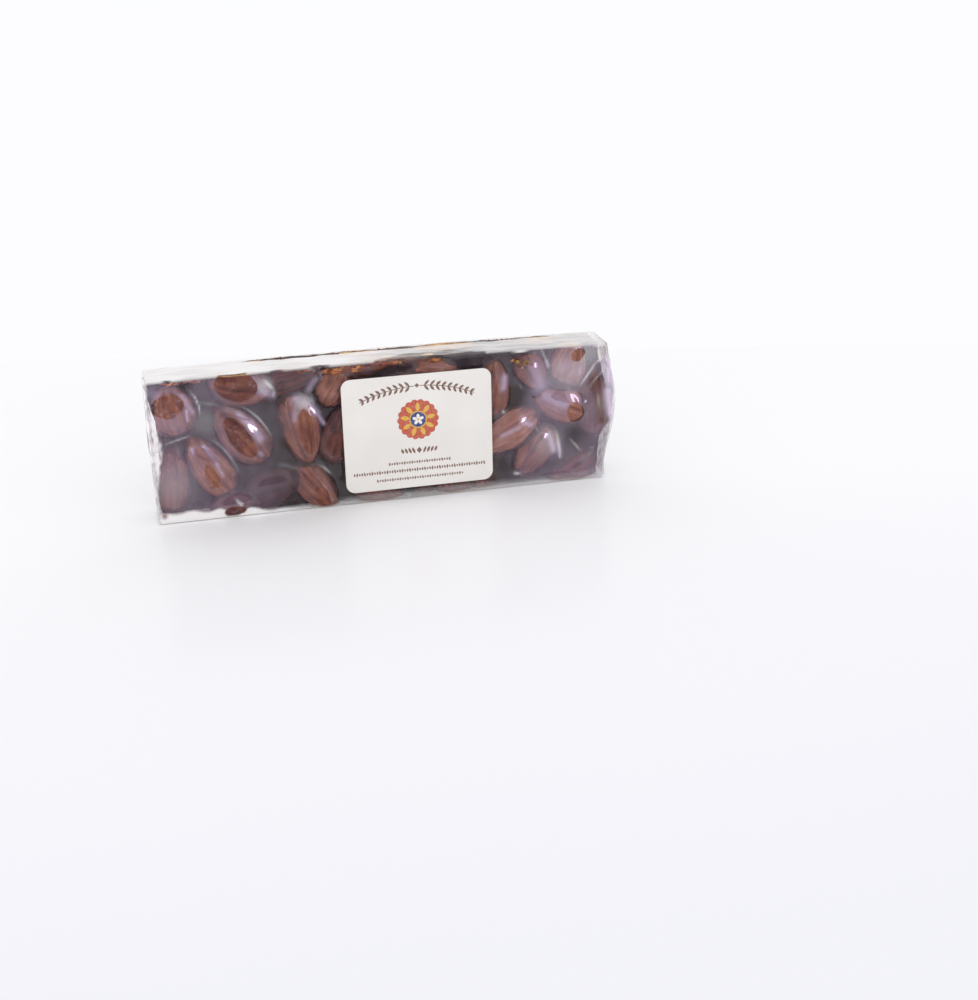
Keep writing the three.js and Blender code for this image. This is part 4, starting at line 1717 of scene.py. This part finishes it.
class NOUGAT_OT_stage(bpy.types.Operator):
    """Lay the white floor and set the soft light and the camera"""

    bl_idname = "nougat.stage"
    bl_label = "Stage"

    def execute(self, context):
        sizes = context.scene.nougat_sizes
        floor = self.add_floor(context)
        self.add_camera(context)
        self.add_room(context, sizes)
        # the floor mirrors neither lamp
        unlit = bpy.data.collections.new("unlit_by_lamps")
        unlit.objects.link(floor)
        unlit.collection_objects[0].light_linking.link_state = "EXCLUDE"
        self.add_lamp("window_lamp", *WINDOW_LAMP, sizes.lamp_strength, unlit)
        self.add_lamp("strip_lamp", *STRIP_LAMP, STRIP_STRENGTH, unlit)
        return {"FINISHED"}

    def add_floor(self, context):
        deselect()
        bpy.ops.mesh.primitive_plane_add(size=FLOOR_SIZE * MM)
        floor = context.object
        floor.name = "floor"
        floor.location = (0, (FLOOR_BEHIND - FLOOR_SIZE / 2) * MM, 0)
        settle(floor)
        floor.rotation_euler = (0, 0, math.radians(-CAMERA_YAW))
        settle(floor)
        floor.data.materials.append(studio_floor(context.scene.nougat_colours))
        return floor

    def add_camera(self, context):
        yaw, pitch, roll = (math.radians(v) for v in (CAMERA_YAW, CAMERA_PITCH, CAMERA_ROLL))
        level = Vector((math.cos(yaw), -math.sin(yaw), 0))
        ahead = Vector(
            (math.sin(yaw) * math.cos(pitch), math.cos(yaw) * math.cos(pitch), -math.sin(pitch))
        )
        over = level.cross(ahead)
        right = math.cos(roll) * level - math.sin(roll) * over
        up = math.sin(roll) * level + math.cos(roll) * over
        data = bpy.data.cameras.new("camera")
        data.lens = CAMERA_LENS
        data.sensor_width = CAMERA_SENSOR
        data.clip_start = 0.01
        camera = bpy.data.objects.new("camera", data)
        turn = Matrix((right, up, -ahead)).transposed().to_4x4()
        camera.matrix_world = Matrix.Translation(Vector(CAMERA_PLACE) * MM) @ turn
        context.collection.objects.link(camera)
        context.scene.camera = camera

    def add_room(self, context, sizes):
        """Even white light; the wrapper mirrors a dim room in front, white paper behind and overhead."""
        world = bpy.data.worlds.new("white_room")
        world.use_nodes = True
        world.node_tree.nodes.clear()
        strength = sizes.world_strength
        white = add(world, "Background", inputs={"Color": rgba(linear(ROOM)), "Strength": strength})
        way = add(world, "SeparateXYZ", Vector=add(world, "TexCoord").outputs["Generated"]).outputs
        high = add(world, "Math", {"operation": "MULTIPLY_ADD"}, {0: way["Z"], 1: 0.6, 2: way["Y"]})
        wider = add(world, "MapRange", {}, {"Value": high.outputs[0], "From Min": -0.9})
        stops = [(0.0, linear(ROOM_IN_FRONT)), (0.62, linear(PAPER_BEHIND))]
        shades = add(world, "ValToRGB", stops=stops, Fac=wider.outputs[0])
        mirrored = add(world, "Background", inputs={"Color": shades.outputs[0], "Strength": strength})
        glossy = add(world, "LightPath").outputs["Is Glossy Ray"]
        mixed = add(world, "MixShader", inputs={0: glossy, 1: white.outputs[0], 2: mirrored.outputs[0]})
        add(world, "OutputWorld", Surface=mixed.outputs[0])
        context.scene.world = world
        context.scene.view_settings.view_transform = "Standard"

    def add_lamp(self, name, place, target, size, power, unlit):
        """A soft box that shows in what is glossy; the white room gives the light."""
        data = bpy.data.lights.new(name, "AREA")
        data.shape = "RECTANGLE"
        data.size, data.size_y = size
        data.energy = power
        lamp = bpy.data.objects.new(name, data)
        lamp.location = Vector(place) * MM
        lamp.rotation_euler = (Vector(target) - Vector(place)).to_track_quat("-Z", "Y").to_euler()
        lamp.visible_diffuse = False
        lamp.visible_camera = False
        lamp.light_linking.receiver_collection = unlit
        bpy.context.collection.objects.link(lamp)


class NOUGAT_PT_bar(bpy.types.Panel):
    bl_label = "Almond nougat bar"
    bl_space_type = "VIEW_3D"
    bl_region_type = "UI"
    bl_category = "Nougat"

    def draw(self, context):
        for name in STEPS:
            self.layout.operator("nougat." + name)
        for group in (context.scene.nougat_sizes, context.scene.nougat_colours):
            for name in group.__annotations__:
                self.layout.prop(group, name)


STEPS = ("almonds", "caramel", "crumbs", "film", "folds", "label", "print", "stage")
CLASSES = (
    NougatColours,
    NougatSizes,
    NOUGAT_OT_almonds,
    NOUGAT_OT_caramel,
    NOUGAT_OT_crumbs,
    NOUGAT_OT_film,
    NOUGAT_OT_folds,
    NOUGAT_OT_label,
    NOUGAT_OT_print,
    NOUGAT_OT_stage,
    NOUGAT_PT_bar,
)


def register():
    for item in CLASSES:
        bpy.utils.register_class(item)
    bpy.types.Scene.nougat_colours = PointerProperty(type=NougatColours)
    bpy.types.Scene.nougat_sizes = PointerProperty(type=NougatSizes)


def unregister():
    del bpy.types.Scene.nougat_sizes
    del bpy.types.Scene.nougat_colours
    for item in reversed(CLASSES):
        bpy.utils.unregister_class(item)


def main():
    register()
    for name in STEPS:
        getattr(bpy.ops.nougat, name)()


if __name__ == "__main__":
    main()
